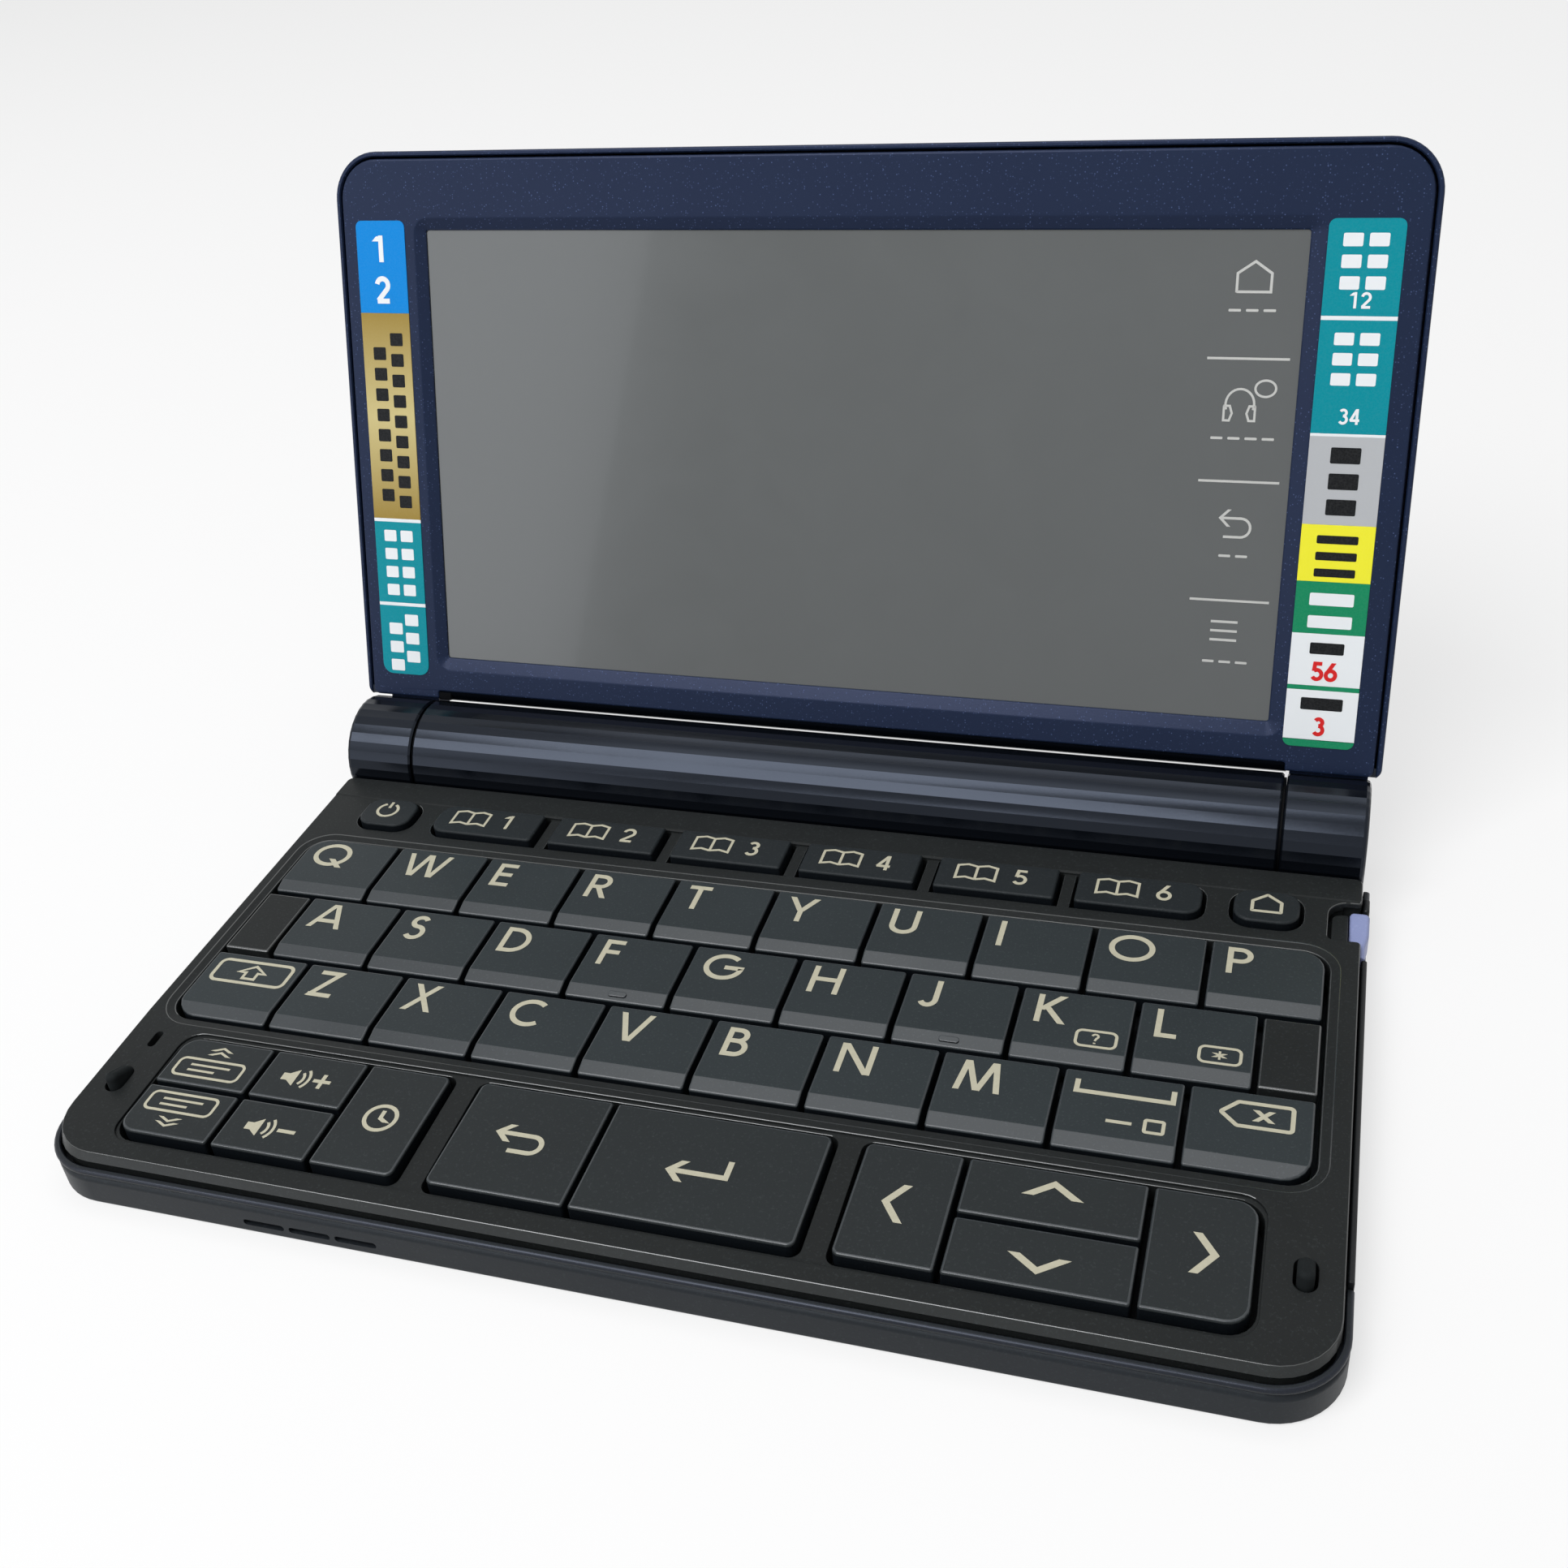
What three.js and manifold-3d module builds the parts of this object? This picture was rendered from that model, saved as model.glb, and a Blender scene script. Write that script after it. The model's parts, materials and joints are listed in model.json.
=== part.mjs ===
// Electronic dictionary: a hand-sized clamshell with a touch screen in its lid and a keyboard in its base.
// Millimetres. X runs to the right, Y to the back and Z up, and the origin is on the flat underside.
// The lid stands open at its resting angle, and every key is up.
import * as THREE from 'three';
import { mergeVertices } from 'three/addons/utils/BufferGeometryUtils.js';
import Module from 'manifold-3d';

const wasm = await Module();
wasm.setup();

// Base: the lower case is a tray, and its rear edge swells into the battery barrel.
const CASE_HALF_WIDTH = 73.8;
const CASE_FRONT = -46.5;
const CASE_REAR = 35.4;
const CASE_CORNER = 8;
const CASE_FLOOR = 1.3;
const CASE_LEDGE = 3.0;
const CASE_RIM = 4.95;
const CASE_PROFILE = [[0, 1.2], [0.35, 0.5], [1.2, 0.15], [3.6, 0.15], [3.8, 0], [4.7, 0], [CASE_RIM, 0.25]];
const TRAY_REAR = 29.8;
const TRAY = { half: 73.0, front: -45.6, corner: 7 };
const TRAY_FLOOR = { x0: -71.6, x1: 69.6, front: -44.2, corner: 5.6 };
const SQUARE = 0.1;
const SPEAKER_SLOTS = { count: 3, left: -45.4, length: 5.2, pitch: 5.85, z0: 1.4, z1: 2.0 };

// Hinge: the lid turns about the barrel's own axis. The barrel has long flats, one each ten degrees.
const HINGE_Y = 39.25;
const HINGE_Z = 7.85;
const BARREL_RADIUS = 7.85;
const BARREL_FLATS = 36;
const BARREL_FLAT_START = 6.5;
const BARREL_HALF = 62.0;
const BARREL_FOOT = { y: 38.3, z: 5.5 };
const KNUCKLE_START = 62.4;
const KNUCKLE_END = 72.9;
const KNUCKLE_CHAMFER = 0.6;
const KNUCKLE_ROOM = 0.35;
const NECK = { x0: 62.5, x1: 70.5, foot: 5, top: 9.5 };
const LID_OPEN_DEG = 108.07;

// Batteries: two cells lie end to end in the barrel, behind a cover that is the barrel's rear shell.
const CELL_RADIUS = 6.9;
const CELL_LENGTH = 49.4;
const CELL_SIDES = 24;
const CELL_NUB = 1.0;
const NUB_RADIUS = 2.7;
const CELL_BAY_RADIUS = 7.2;
const CELL_BAY_HALF = 52.2;
const CELL_BAY_SIDES = 28;
const COVER_HALF = 51.0;
const COVER_FROM_DEG = -92.8;
const COVER_TO_DEG = 33.8;
const COVER_GAP_DEG = 2.3;

// Hinge shafts: a friction clutch on the left, and a hollow boss for the display cable on the right.
const CLUTCH_RADIUS = 3.2;
const CLUTCH_BORE = 3.5;
const BOSS_RADIUS = 3.4;
const BOSS_BORE = 2.0;
const KNUCKLE_BORE = 3.7;
const SHAFT_INNER = 54.5;
const SHAFT_OUTER = 70.1;
const SHAFT_SIDES = 20;

// Shared clearances: parts stay a GAP apart, and a cutter reaches at least BEYOND past the face it opens.
const GAP = 0.3;
const BEYOND = 1;
const ABOVE_BASE = 9;

// Keyboard panel: a plate with a skirt that drops inside the case's rim.
const PANEL_HALF_WIDTH = 72.6;
const PANEL_FRONT = -44.7;
const PANEL_REAR = 31.1;
const PANEL_CORNER = 6.8;
const PANEL_TOP = 7.4;
const PANEL_UNDER = 6.2;
const PANEL_SKIRT = 1.2;
const PANEL_BOTTOM = 3.3;
const SLOPE_START = -21.8;
const SLOPE_FRONT_Z = 6.8;
const BACK_STEP_Y = 26.4;
const BACK_STEP_Z = 7.7;
const BAND_WIDTH = 1.2;
const BAND_FALL = 0.25;
const MICROPHONE = { x0: -69.1, x1: -68.1, y0: -27.85, y1: -25.15 };
const STOP = { x: 68.9, halfWidth: 1.1, y0: -35.1, y1: -31.1, z0: 6.5, z1: 8.9 };

// Keys: letter keys have a front facet below their flat top.
const KEY_BOTTOM = 5.05;
const KEY_EDGE = 0.2;
const KEY_GAP = 0.7;
const LETTER_TOP = 7.75;
const LETTER_PITCH = 13.9;
const LETTER_DEPTH = 11.55;
const FACET_DEPTH = 1.9;
const FACET_DROP = 0.5;
const LETTER_CORNER = 3.0;
const TIGHT_CORNER = 0.3;
const LETTER_ROWS = [
  { names: ['q', 'w', 'e', 'r', 't', 'y', 'u', 'i', 'o', 'p'], left: -69.4, back: 15.45 },
  { names: ['a', 's', 'd', 'f', 'g', 'h', 'j', 'k', 'l'], left: -62.45, back: 2.7 },
  { names: ['shift', 'z', 'x', 'c', 'v', 'b', 'n', 'm', 'space', 'delete'], left: -69.4, back: -10.05 },
];
const LETTERS = {
  x0: -70.05,
  x1: 69.6,
  y0: LETTER_ROWS[2].back - LETTER_DEPTH - 0.6,
  y1: LETTER_ROWS[0].back + 0.6,
  corner: 3.4,
};

// Blank plates close the ends of the middle letter row, and a lower web ties each to the panel.
const FILLER_TOP = 7.6;
const FILLER_WEB_TOP = 6.7;
const FILLERS = [
  { x0: -69.5, x1: -63.1, web0: -70.5, web1: -63.1 },
  { x0: 62.6, x1: 69.1, web0: 62.6, web1: 70.1 },
];

// Function row: two small end keys and six wide ones between them.
const FUNCTION_TOP = 8.25;
const FUNCTION_BACK = 25.8;
const FUNCTION_FRONT = 19.65;
const FUNCTION_PITCH = 18.3;
const FUNCTION_WIDTH = 15.7;
const FUNCTION_COUNT = 6;
const FUNCTION_CORNER = 2;
const FUNCTION_WEB = { half: 54.1, top: 7.1 };
const END_KEY_X = 61.5;
const END_KEY_WIDTH = 8.0;
const END_KEY_CORNER = 2.2;
const SLOT_GAP = 0.5;

// Control keys at the front: three groups, some of them split into an upper and a lower key.
const CONTROL_TOP = 7.65;
const CONTROL_BACK = -25.6;
const CONTROL_FRONT = -41.4;
const CONTROL_SPLIT = -33.5;
const CONTROL_GAP = 0.6;
const RECESS = { x0: -64.9, x1: 65.0, front: -42.4, back: -24.5, depth: 0.3 };
const CONTROL_KEYS = [
  { name: 'page_up', x0: -64.1, x1: -51.95, half: 'upper', radii: [0.3, 0.3, 0.3, 2.2] },
  { name: 'page_down', x0: -64.1, x1: -51.95, half: 'lower', radii: [2.2, 0.3, 0.3, 0.3] },
  { name: 'volume_up', x0: -51.3, x1: -39.05, half: 'upper', radii: [0.3, 0.3, 0.3, 0.3] },
  { name: 'volume_down', x0: -51.3, x1: -39.05, half: 'lower', radii: [0.3, 0.3, 0.3, 0.3] },
  { name: 'history', x0: -38.4, x1: -28.0, half: 'full', radii: [0.3, 0.9, 0.9, 0.3] },
  { name: 'back', x0: -23.9, x1: -7.35, half: 'full', radii: [0.9, 0.3, 0.3, 0.9] },
  { name: 'enter', x0: -6.75, x1: 18.7, half: 'full', radii: [0.3, 0.9, 0.9, 0.3] },
  { name: 'left', x0: 22.6, x1: 33.35, half: 'full', radii: [0.9, 0.3, 0.3, 0.9] },
  { name: 'up', x0: 34.0, x1: 52.95, half: 'upper', radii: [0.3, 0.3, 0.3, 0.3] },
  { name: 'down', x0: 34.0, x1: 52.95, half: 'lower', radii: [0.3, 0.3, 0.3, 0.3] },
  { name: 'right', x0: 53.6, x1: 64.2, half: 'full', radii: [0.3, 2.4, 2.4, 0.3] },
];
const CONTROL_GROUPS = [
  { x0: -64.1, x1: -28.0, leftCorner: 2.6, rightCorner: 1.2 },
  { x0: -23.9, x1: 18.7, leftCorner: 1.2, rightCorner: 1.2 },
  { x0: 22.6, x1: 64.2, leftCorner: 1.2, rightCorner: 2.8 },
];

// Under the keys: a rubber mat with a dome for each key, on the circuit board.
const MAT = { x0: -68, x1: 67.2, y0: -42.6, y1: 27.5, corner: 4, z0: 2.8, z1: 3.6 };
const DOME = { foot: 2.2, top: 1.5, z0: 3.3, z1: 3.9, sides: 6 };
const BOARD = { x0: -70.5, x1: 69.0, y0: -43.2, y1: 28.9, corner: 4.4, z0: 1.7, z1: 2.5 };

// Lid: a bezel plate with the window, inside the rim of the outer cover. Heights run from the hinge axis.
const LID_FOOT = 8.19;
const BEZEL_TOP = 85.2;
const BEZEL_HALF = 73.0;
const BEZEL_CORNER = 5.5;
const BEZEL_FACE = -1.4;
const BEZEL_PLATE = 1.2;
const BEZEL_DEPTH = 4.6;
const BEZEL_WALL = 1.4;
const BEZEL_FOOT_CORNER = 0.8;
const COVER_TOP = 86.2;
const COVER_OUTER_HALF = 74.0;
const COVER_CORNER = 6.5;
const COVER_WALL = 0.7;
const COVER_FACE = -7.85;
const COVER_PLATE = 1.35;
const COVER_FOOT_CORNER = 1.2;
const COVER_PROFILE = [
  [COVER_FACE, 1.6],
  [COVER_FACE + 0.45, 0.5],
  [COVER_FACE + 1.4, 0],
  [-1.8, 0],
  [-1.5, 0.25],
];
const WINDOW = { x0: -60.3, x1: 59.3, y0: 14.3, y1: 75.7 };
const WINDOW_BEVEL = { x0: -61.7, x1: 61.0, y0: 12.6, y1: 77.2 };
const WINDOW_BEVEL_DEPTH = 0.35;
const LIP = 0.6;
const GLASS_MARGIN = 2.0;
const GLASS_FRONT = 0.9;
const GLASS_BACK = 1.6;
const DISPLAY_BACK = 4.3;
const DISPLAY_MARGIN = { x: 1, y: 1.5 };

// Stylus: it lies in an open groove along the right side, and a notch in the panel bares its cap.
const GROOVE = { x: 70.4, y0: -33.2, y1: 26.1, z0: 2.6, z1: 6.7 };
const GROOVE_END = { x: 72.9, y: 30.2, z0: 4, z1: 6.9 };
const GROOVE_WALL_TOP = 5.9;
const NOTCH = { x: 68.5, y0: 18.7, y1: 26.1, floor: 4.4, corner: 1.5 };
const NOTCH_POCKET = { wall: 0.8, z0: 3.6, z1: 6.5 };
const STYLUS_CORNER = 0.35;
const STYLUS = [
  { y: -32.8, x0: 71.9, x1: 72.7, z0: 4.2, z1: 5.0 },
  { y: -30.8, x0: 71.3, x1: 73.1, z0: 3.5, z1: 5.8 },
  { y: -10.6, x0: 71.2, x1: 73.2, z0: 3.3, z1: 6.1 },
  { y: -9.6, x0: 70.9, x1: 73.5, z0: 2.9, z1: 6.4 },
  { y: 24.9, x0: 70.9, x1: 73.7, z0: 2.9, z1: 6.4 },
  { y: 25.7, x0: 71.2, x1: 73.4, z0: 3.2, z1: 6.1 },
];

const PLASTIC = {
  case: { color: 0x2d2f36, roughness: 0.55 },
  panel: { color: 0x2f3335, roughness: 0.6 },
  key: { color: 0x34383a, roughness: 0.55 },
  lid: { color: 0x232a40, roughness: 0.42 },
  barrel: { color: 0x262a38, roughness: 0.4 },
  screen: { color: 0x6b6c6a, roughness: 0.12 },
  rubber: { color: 0x8a8f92, roughness: 0.9 },
  board: { color: 0x1f5a3c, roughness: 0.6 },
  steel: { color: 0xa9adb0, roughness: 0.35, metalness: 1 },
  cell: { color: 0x8f8a78, roughness: 0.4, metalness: 0.6 },
  stylus: { color: 0x9aa0d8, roughness: 0.5 },
};

const ALONG_X = new THREE.Matrix4().makeBasis(
  new THREE.Vector3(0, 1, 0),
  new THREE.Vector3(0, 0, 1),
  new THREE.Vector3(1, 0, 0),
);
const ALONG_Y = new THREE.Matrix4().makeBasis(
  new THREE.Vector3(0, 0, 1),
  new THREE.Vector3(1, 0, 0),
  new THREE.Vector3(0, 1, 0),
);

// A rectangle, anticlockwise. Its corner radii go front left, front right, back right, back left.
function outline(x0, x1, y0, y1, radii, inset = 0) {
  const corners = [
    { x: x0, y: y0, sx: 1, sy: 1, start: Math.PI },
    { x: x1, y: y0, sx: -1, sy: 1, start: 1.5 * Math.PI },
    { x: x1, y: y1, sx: -1, sy: -1, start: 0 },
    { x: x0, y: y1, sx: 1, sy: -1, start: 0.5 * Math.PI },
  ];
  const points = [];
  corners.forEach(({ x, y, sx, sy, start }, index) => {
    const radius = Math.max(radii[index] - inset, 0.05);
    const steps = radii[index] > 4 ? 6 : radii[index] > 1 ? 4 : 1;
    const centreX = x + sx * (inset + radius);
    const centreY = y + sy * (inset + radius);
    for (let i = 0; i <= steps; i += 1) {
      const angle = start + (0.5 * Math.PI * i) / steps;
      points.push(new THREE.Vector2(centreX + radius * Math.cos(angle), centreY + radius * Math.sin(angle)));
    }
  });
  return points;
}

// A regular polygon on a circle, anticlockwise, whose first corner is at the given angle.
function circle(x, y, radius, sides, startDeg = 0) {
  const points = [];
  for (let i = 0; i < sides; i += 1) {
    const angle = THREE.MathUtils.degToRad(startDeg + (360 * i) / sides);
    points.push(new THREE.Vector2(x + radius * Math.cos(angle), y + radius * Math.sin(angle)));
  }
  return points;
}

// A closed mesh through level outlines with equal counts of points, lowest level first.
function stack(levels) {
  const count = levels[0].points.length;
  const vertices = [];
  const faces = [];
  for (const level of levels) {
    level.points.forEach((point) => vertices.push(point.x, point.y, level.z));
  }
  for (let k = 0; k + 1 < levels.length; k += 1) {
    for (let i = 0; i < count; i += 1) {
      const a = k * count + i;
      const b = k * count + ((i + 1) % count);
      faces.push(a, b, b + count, a, b + count, a + count);
    }
  }
  const top = (levels.length - 1) * count;
  for (const [a, b, c] of THREE.ShapeUtils.triangulateShape(levels[0].points, [])) {
    faces.push(c, b, a, top + a, top + b, top + c);
  }
  const geometry = new THREE.BufferGeometry();
  geometry.setAttribute('position', new THREE.Float32BufferAttribute(vertices, 3));
  geometry.setIndex(faces);
  return geometry;
}

// The same outline carried from one height to another.
function prism(points, z0, z1) {
  const shape = new THREE.Shape(points);
  const geometry = new THREE.ExtrudeGeometry(shape, { depth: z1 - z0, bevelEnabled: false });
  return geometry.translate(0, 0, z0);
}

function sectionYZ(pairs) {
  return pairs.map(([y, z]) => new THREE.Vector2(y, z));
}

// An outline drawn in Y and Z, carried along X.
function prismX(points, x0, x1) {
  return prism(points, x0, x1).applyMatrix4(ALONG_X);
}

function block(x0, x1, y0, y1, z0, z1) {
  const geometry = new THREE.BoxGeometry(x1 - x0, y1 - y0, z1 - z0);
  return geometry.translate((x0 + x1) / 2, (y0 + y1) / 2, (z0 + z1) / 2);
}

function rodX(radius, sides, x0, x1, startDeg = 0) {
  return prismX(circle(HINGE_Y, HINGE_Z, radius, sides, startDeg), x0, x1);
}

function solid(geometry) {
  const bare = geometry.clone();
  bare.deleteAttribute('normal');
  bare.deleteAttribute('uv');
  const merged = mergeVertices(bare, 1e-4);
  return new wasm.Manifold(new wasm.Mesh({
    numProp: 3,
    vertProperties: new Float32Array(merged.attributes.position.array),
    triVerts: new Uint32Array(merged.index.array),
  }));
}

function join(...geometries) {
  return geometries.map(solid).reduce((whole, piece) => whole.add(piece));
}

function cut(body, ...geometries) {
  return geometries.map(solid).reduce((whole, piece) => whole.subtract(piece), body);
}

function geometryOf(body) {
  const mesh = body.getMesh();
  const geometry = new THREE.BufferGeometry();
  geometry.setAttribute('position', new THREE.BufferAttribute(new Float32Array(mesh.vertProperties), 3));
  geometry.setIndex(new THREE.BufferAttribute(new Uint32Array(mesh.triVerts), 1));
  return geometry;
}

function piece(name, shape, finish) {
  const geometry = shape.isBufferGeometry ? shape : geometryOf(shape);
  const material = new THREE.MeshStandardMaterial({ metalness: 0, ...finish });
  const mesh = new THREE.Mesh(geometry, material);
  mesh.name = name;
  return mesh;
}

// A slice of pie around the hinge axis, far wider than the barrel.
function hingeSector(fromDeg, toDeg, halfWidth) {
  const reach = 2 * BARREL_RADIUS;
  const points = [new THREE.Vector2(HINGE_Y, HINGE_Z)];
  const steps = 8;
  for (let i = 0; i <= steps; i += 1) {
    const angle = THREE.MathUtils.degToRad(fromDeg + ((toDeg - fromDeg) * i) / steps);
    points.push(new THREE.Vector2(HINGE_Y + reach * Math.cos(angle), HINGE_Z + reach * Math.sin(angle)));
  }
  return prismX(points, -halfWidth, halfWidth);
}

// The case's outside: a rounded foot, a plain side, and a bead along the rim.
function caseOutside() {
  const radii = [CASE_CORNER, CASE_CORNER, 1, 1];
  return stack(CASE_PROFILE.map(([z, inset]) => ({
    z,
    points: outline(-CASE_HALF_WIDTH, CASE_HALF_WIDTH, CASE_FRONT, CASE_REAR, radii, inset),
  })));
}

// The tray is wide above its ledge and narrower below it, where the groove's wall needs the room.
function trayCutters() {
  const wide = [TRAY.corner, TRAY.corner, SQUARE, SQUARE];
  const narrow = [TRAY_FLOOR.corner, TRAY_FLOOR.corner, SQUARE, SQUARE];
  return [
    prism(outline(-TRAY.half, TRAY.half, TRAY.front, TRAY_REAR, wide), CASE_LEDGE, ABOVE_BASE),
    prism(
      outline(TRAY_FLOOR.x0, TRAY_FLOOR.x1, TRAY_FLOOR.front, TRAY_REAR, narrow),
      CASE_FLOOR,
      CASE_LEDGE + BEYOND,
    ),
  ];
}

// Three short slots in the front wall, in front of the speaker.
function speakerSlots() {
  const { count, left, length, pitch, z0, z1 } = SPEAKER_SLOTS;
  const starts = Array.from({ length: count }, (_, i) => left + pitch * i);
  return starts.map((x) => block(x, x + length, CASE_FRONT - BEYOND, TRAY_FLOOR.front + BEYOND, z0, z1));
}

function bottomCase() {
  const foot = block(-BARREL_HALF, BARREL_HALF, TRAY_REAR, BARREL_FOOT.y, 0, BARREL_FOOT.z);
  const barrel = rodX(BARREL_RADIUS, BARREL_FLATS, -BARREL_HALF, BARREL_HALF, 180 - BARREL_FLAT_START);
  const room = BARREL_RADIUS + KNUCKLE_ROOM;
  const outer = CASE_HALF_WIDTH + BEYOND;
  const hollow = cut(
    join(caseOutside(), foot, barrel),
    rodX(room, BARREL_FLATS, BARREL_HALF, outer),
    rodX(room, BARREL_FLATS, -outer, -BARREL_HALF),
    ...trayCutters(),
    rodX(CELL_BAY_RADIUS, CELL_BAY_SIDES, -CELL_BAY_HALF, CELL_BAY_HALF),
    hingeSector(COVER_FROM_DEG - COVER_GAP_DEG, COVER_TO_DEG + COVER_GAP_DEG, COVER_HALF + GAP),
    block(GROOVE.x, outer, GROOVE.y0, GROOVE.y1, GROOVE.z0, ABOVE_BASE),
  );
  const boss = rodX(BOSS_RADIUS, SHAFT_SIDES, BARREL_HALF - BEYOND, SHAFT_OUTER);
  const wall = block(
    TRAY_FLOOR.x1,
    GROOVE.x,
    GROOVE.y0 - 0.4,
    NOTCH.y0 - NOTCH.corner,
    CASE_FLOOR - GAP,
    GROOVE_WALL_TOP,
  );
  const end = block(
    GROOVE_END.x,
    CASE_HALF_WIDTH,
    GROOVE.y1 + GAP,
    GROOVE_END.y,
    GROOVE_END.z0,
    GROOVE_END.z1,
  );
  return cut(
    hollow.add(join(boss, wall, end)),
    rodX(BOSS_BORE, 12, SHAFT_INNER, SHAFT_OUTER + BEYOND),
    rodX(CLUTCH_BORE, SHAFT_SIDES, -BARREL_HALF - BEYOND, -SHAFT_INNER + GAP),
    ...speakerSlots(),
  );
}

function batteryCover() {
  const shell = cut(
    solid(rodX(BARREL_RADIUS, BARREL_FLATS, -COVER_HALF, COVER_HALF, 180 - BARREL_FLAT_START)),
    rodX(CELL_BAY_RADIUS, CELL_BAY_SIDES, -COVER_HALF - BEYOND, COVER_HALF + BEYOND),
  );
  return shell.intersect(solid(hingeSector(COVER_FROM_DEG, COVER_TO_DEG, COVER_HALF + BEYOND)));
}

// A cell lies along X with its nub at the right.
function batteryCell(x0) {
  const nubStart = x0 + CELL_LENGTH;
  const nub = rodX(NUB_RADIUS, 12, nubStart - BEYOND, nubStart + CELL_NUB);
  return join(rodX(CELL_RADIUS, CELL_SIDES, x0, nubStart), nub);
}

// The wide opening for the letter keys: a sloped band runs around its rim.
function letterCutters() {
  const radii = Array(4).fill(LETTERS.corner);
  const at = (inset) => outline(LETTERS.x0, LETTERS.x1, LETTERS.y0, LETTERS.y1, radii, inset);
  const band = stack([
    { z: PANEL_TOP - BAND_FALL, points: at(0) },
    { z: PANEL_TOP + 0.01, points: at(-BAND_WIDTH) },
    { z: PANEL_TOP + BEYOND, points: at(-BAND_WIDTH) },
  ]);
  return [band, prism(at(0), PANEL_BOTTOM, ABOVE_BASE)];
}

// A slot around one key of the function row.
function functionSlot(centre, width, radii) {
  const half = width / 2 + SLOT_GAP;
  const y0 = FUNCTION_FRONT - SLOT_GAP;
  const y1 = FUNCTION_BACK + SLOT_GAP;
  return prism(outline(centre - half, centre + half, y0, y1, radii), PANEL_BOTTOM, ABOVE_BASE);
}

// The corner radii of the i-th function key or slot: only the row's two outer ends are round.
function functionRadii(i, round, tight) {
  const left = i === 0 ? round : tight;
  const right = i === FUNCTION_COUNT - 1 ? round : tight;
  return [left, right, right, left];
}

function functionX(i) {
  return (i - (FUNCTION_COUNT - 1) / 2) * FUNCTION_PITCH;
}

function functionSlots() {
  const indices = Array.from({ length: FUNCTION_COUNT }, (_, i) => i);
  const round = FUNCTION_CORNER + SLOT_GAP;
  const endRadii = Array(4).fill(END_KEY_CORNER + SLOT_GAP);
  return [
    ...indices.map((i) => functionSlot(functionX(i), FUNCTION_WIDTH, functionRadii(i, round, TIGHT_CORNER))),
    ...[-1, 1].map((side) => functionSlot(side * END_KEY_X, END_KEY_WIDTH, endRadii)),
  ];
}

function controlSlots() {
  const y0 = CONTROL_FRONT - CONTROL_GAP;
  const y1 = CONTROL_BACK + CONTROL_GAP;
  return CONTROL_GROUPS.map(({ x0, x1, leftCorner, rightCorner }) => {
    const radii = [leftCorner, rightCorner, rightCorner, leftCorner];
    return prism(outline(x0 - CONTROL_GAP, x1 + CONTROL_GAP, y0, y1, radii), PANEL_BOTTOM, ABOVE_BASE);
  });
}

// The control keys stand in a shallow recess that follows the panel's slope.
function controlRecess() {
  const fall = (PANEL_TOP - SLOPE_FRONT_Z) / (SLOPE_START - PANEL_FRONT);
  const floorAt = (y) => PANEL_TOP - fall * (SLOPE_START - y) - RECESS.depth;
  const section = sectionYZ([
    [RECESS.front, floorAt(RECESS.front)],
    [RECESS.back, floorAt(RECESS.back)],
    [RECESS.back, ABOVE_BASE],
    [RECESS.front, ABOVE_BASE],
  ]);
  return prismX(section, RECESS.x0, RECESS.x1);
}

// The panel's outer form: its front slopes down and its rear edge steps up.
function panelOutside() {
  const radii = [PANEL_CORNER, PANEL_CORNER, 1, 1];
  const plan = outline(-PANEL_HALF_WIDTH, PANEL_HALF_WIDTH, PANEL_FRONT, PANEL_REAR, radii);
  const section = sectionYZ([
    [PANEL_FRONT - BEYOND, PANEL_BOTTOM],
    [PANEL_REAR + BEYOND, PANEL_BOTTOM],
    [PANEL_REAR + BEYOND, BACK_STEP_Z],
    [BACK_STEP_Y, BACK_STEP_Z],
    [BACK_STEP_Y, PANEL_TOP],
    [SLOPE_START, PANEL_TOP],
    [PANEL_FRONT, SLOPE_FRONT_Z],
    [PANEL_FRONT - BEYOND, SLOPE_FRONT_Z],
  ]);
  const side = PANEL_HALF_WIDTH + BEYOND;
  return solid(prism(plan, PANEL_BOTTOM, ABOVE_BASE)).intersect(solid(prismX(section, -side, side)));
}

// The skirt stays along the sides and the front only, where it stands on the case's ledge.
function panelHollow() {
  const half = PANEL_HALF_WIDTH - PANEL_SKIRT;
  const corner = PANEL_CORNER - PANEL_SKIRT;
  const radii = [corner, corner, 1, 1];
  const inside = outline(-half, half, PANEL_FRONT + PANEL_SKIRT, PANEL_REAR + 5, radii);
  const low = PANEL_BOTTOM - BEYOND;
  return [
    prism(inside, low, PANEL_UNDER),
    block(-CASE_HALF_WIDTH, CASE_HALF_WIDTH, TRAY_REAR - GAP, HINGE_Y, low, PANEL_UNDER),
  ];
}

// A finger notch in the right edge, with a pocket under it, bares the stylus's cap.
function notchCutters() {
  const radii = [NOTCH.corner, 1, 1, NOTCH.corner];
  const opening = outline(NOTCH.x, PANEL_HALF_WIDTH + 5, NOTCH.y0, NOTCH.y1, radii);
  const x0 = GROOVE.x + 0.2;
  const x1 = PANEL_HALF_WIDTH + BEYOND;
  return [
    prism(opening, NOTCH.floor, ABOVE_BASE),
    block(x0, x1, GROOVE.y0 - 0.4, GROOVE.y1 + 0.4, PANEL_BOTTOM - BEYOND, GROOVE.z1),
  ];
}

function notchPocket() {
  const { wall, z0, z1 } = NOTCH_POCKET;
  return solid(block(NOTCH.x - wall, GROOVE.x + 0.2, NOTCH.y0 - wall, NOTCH.y1 + wall, z0, z1));
}

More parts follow.
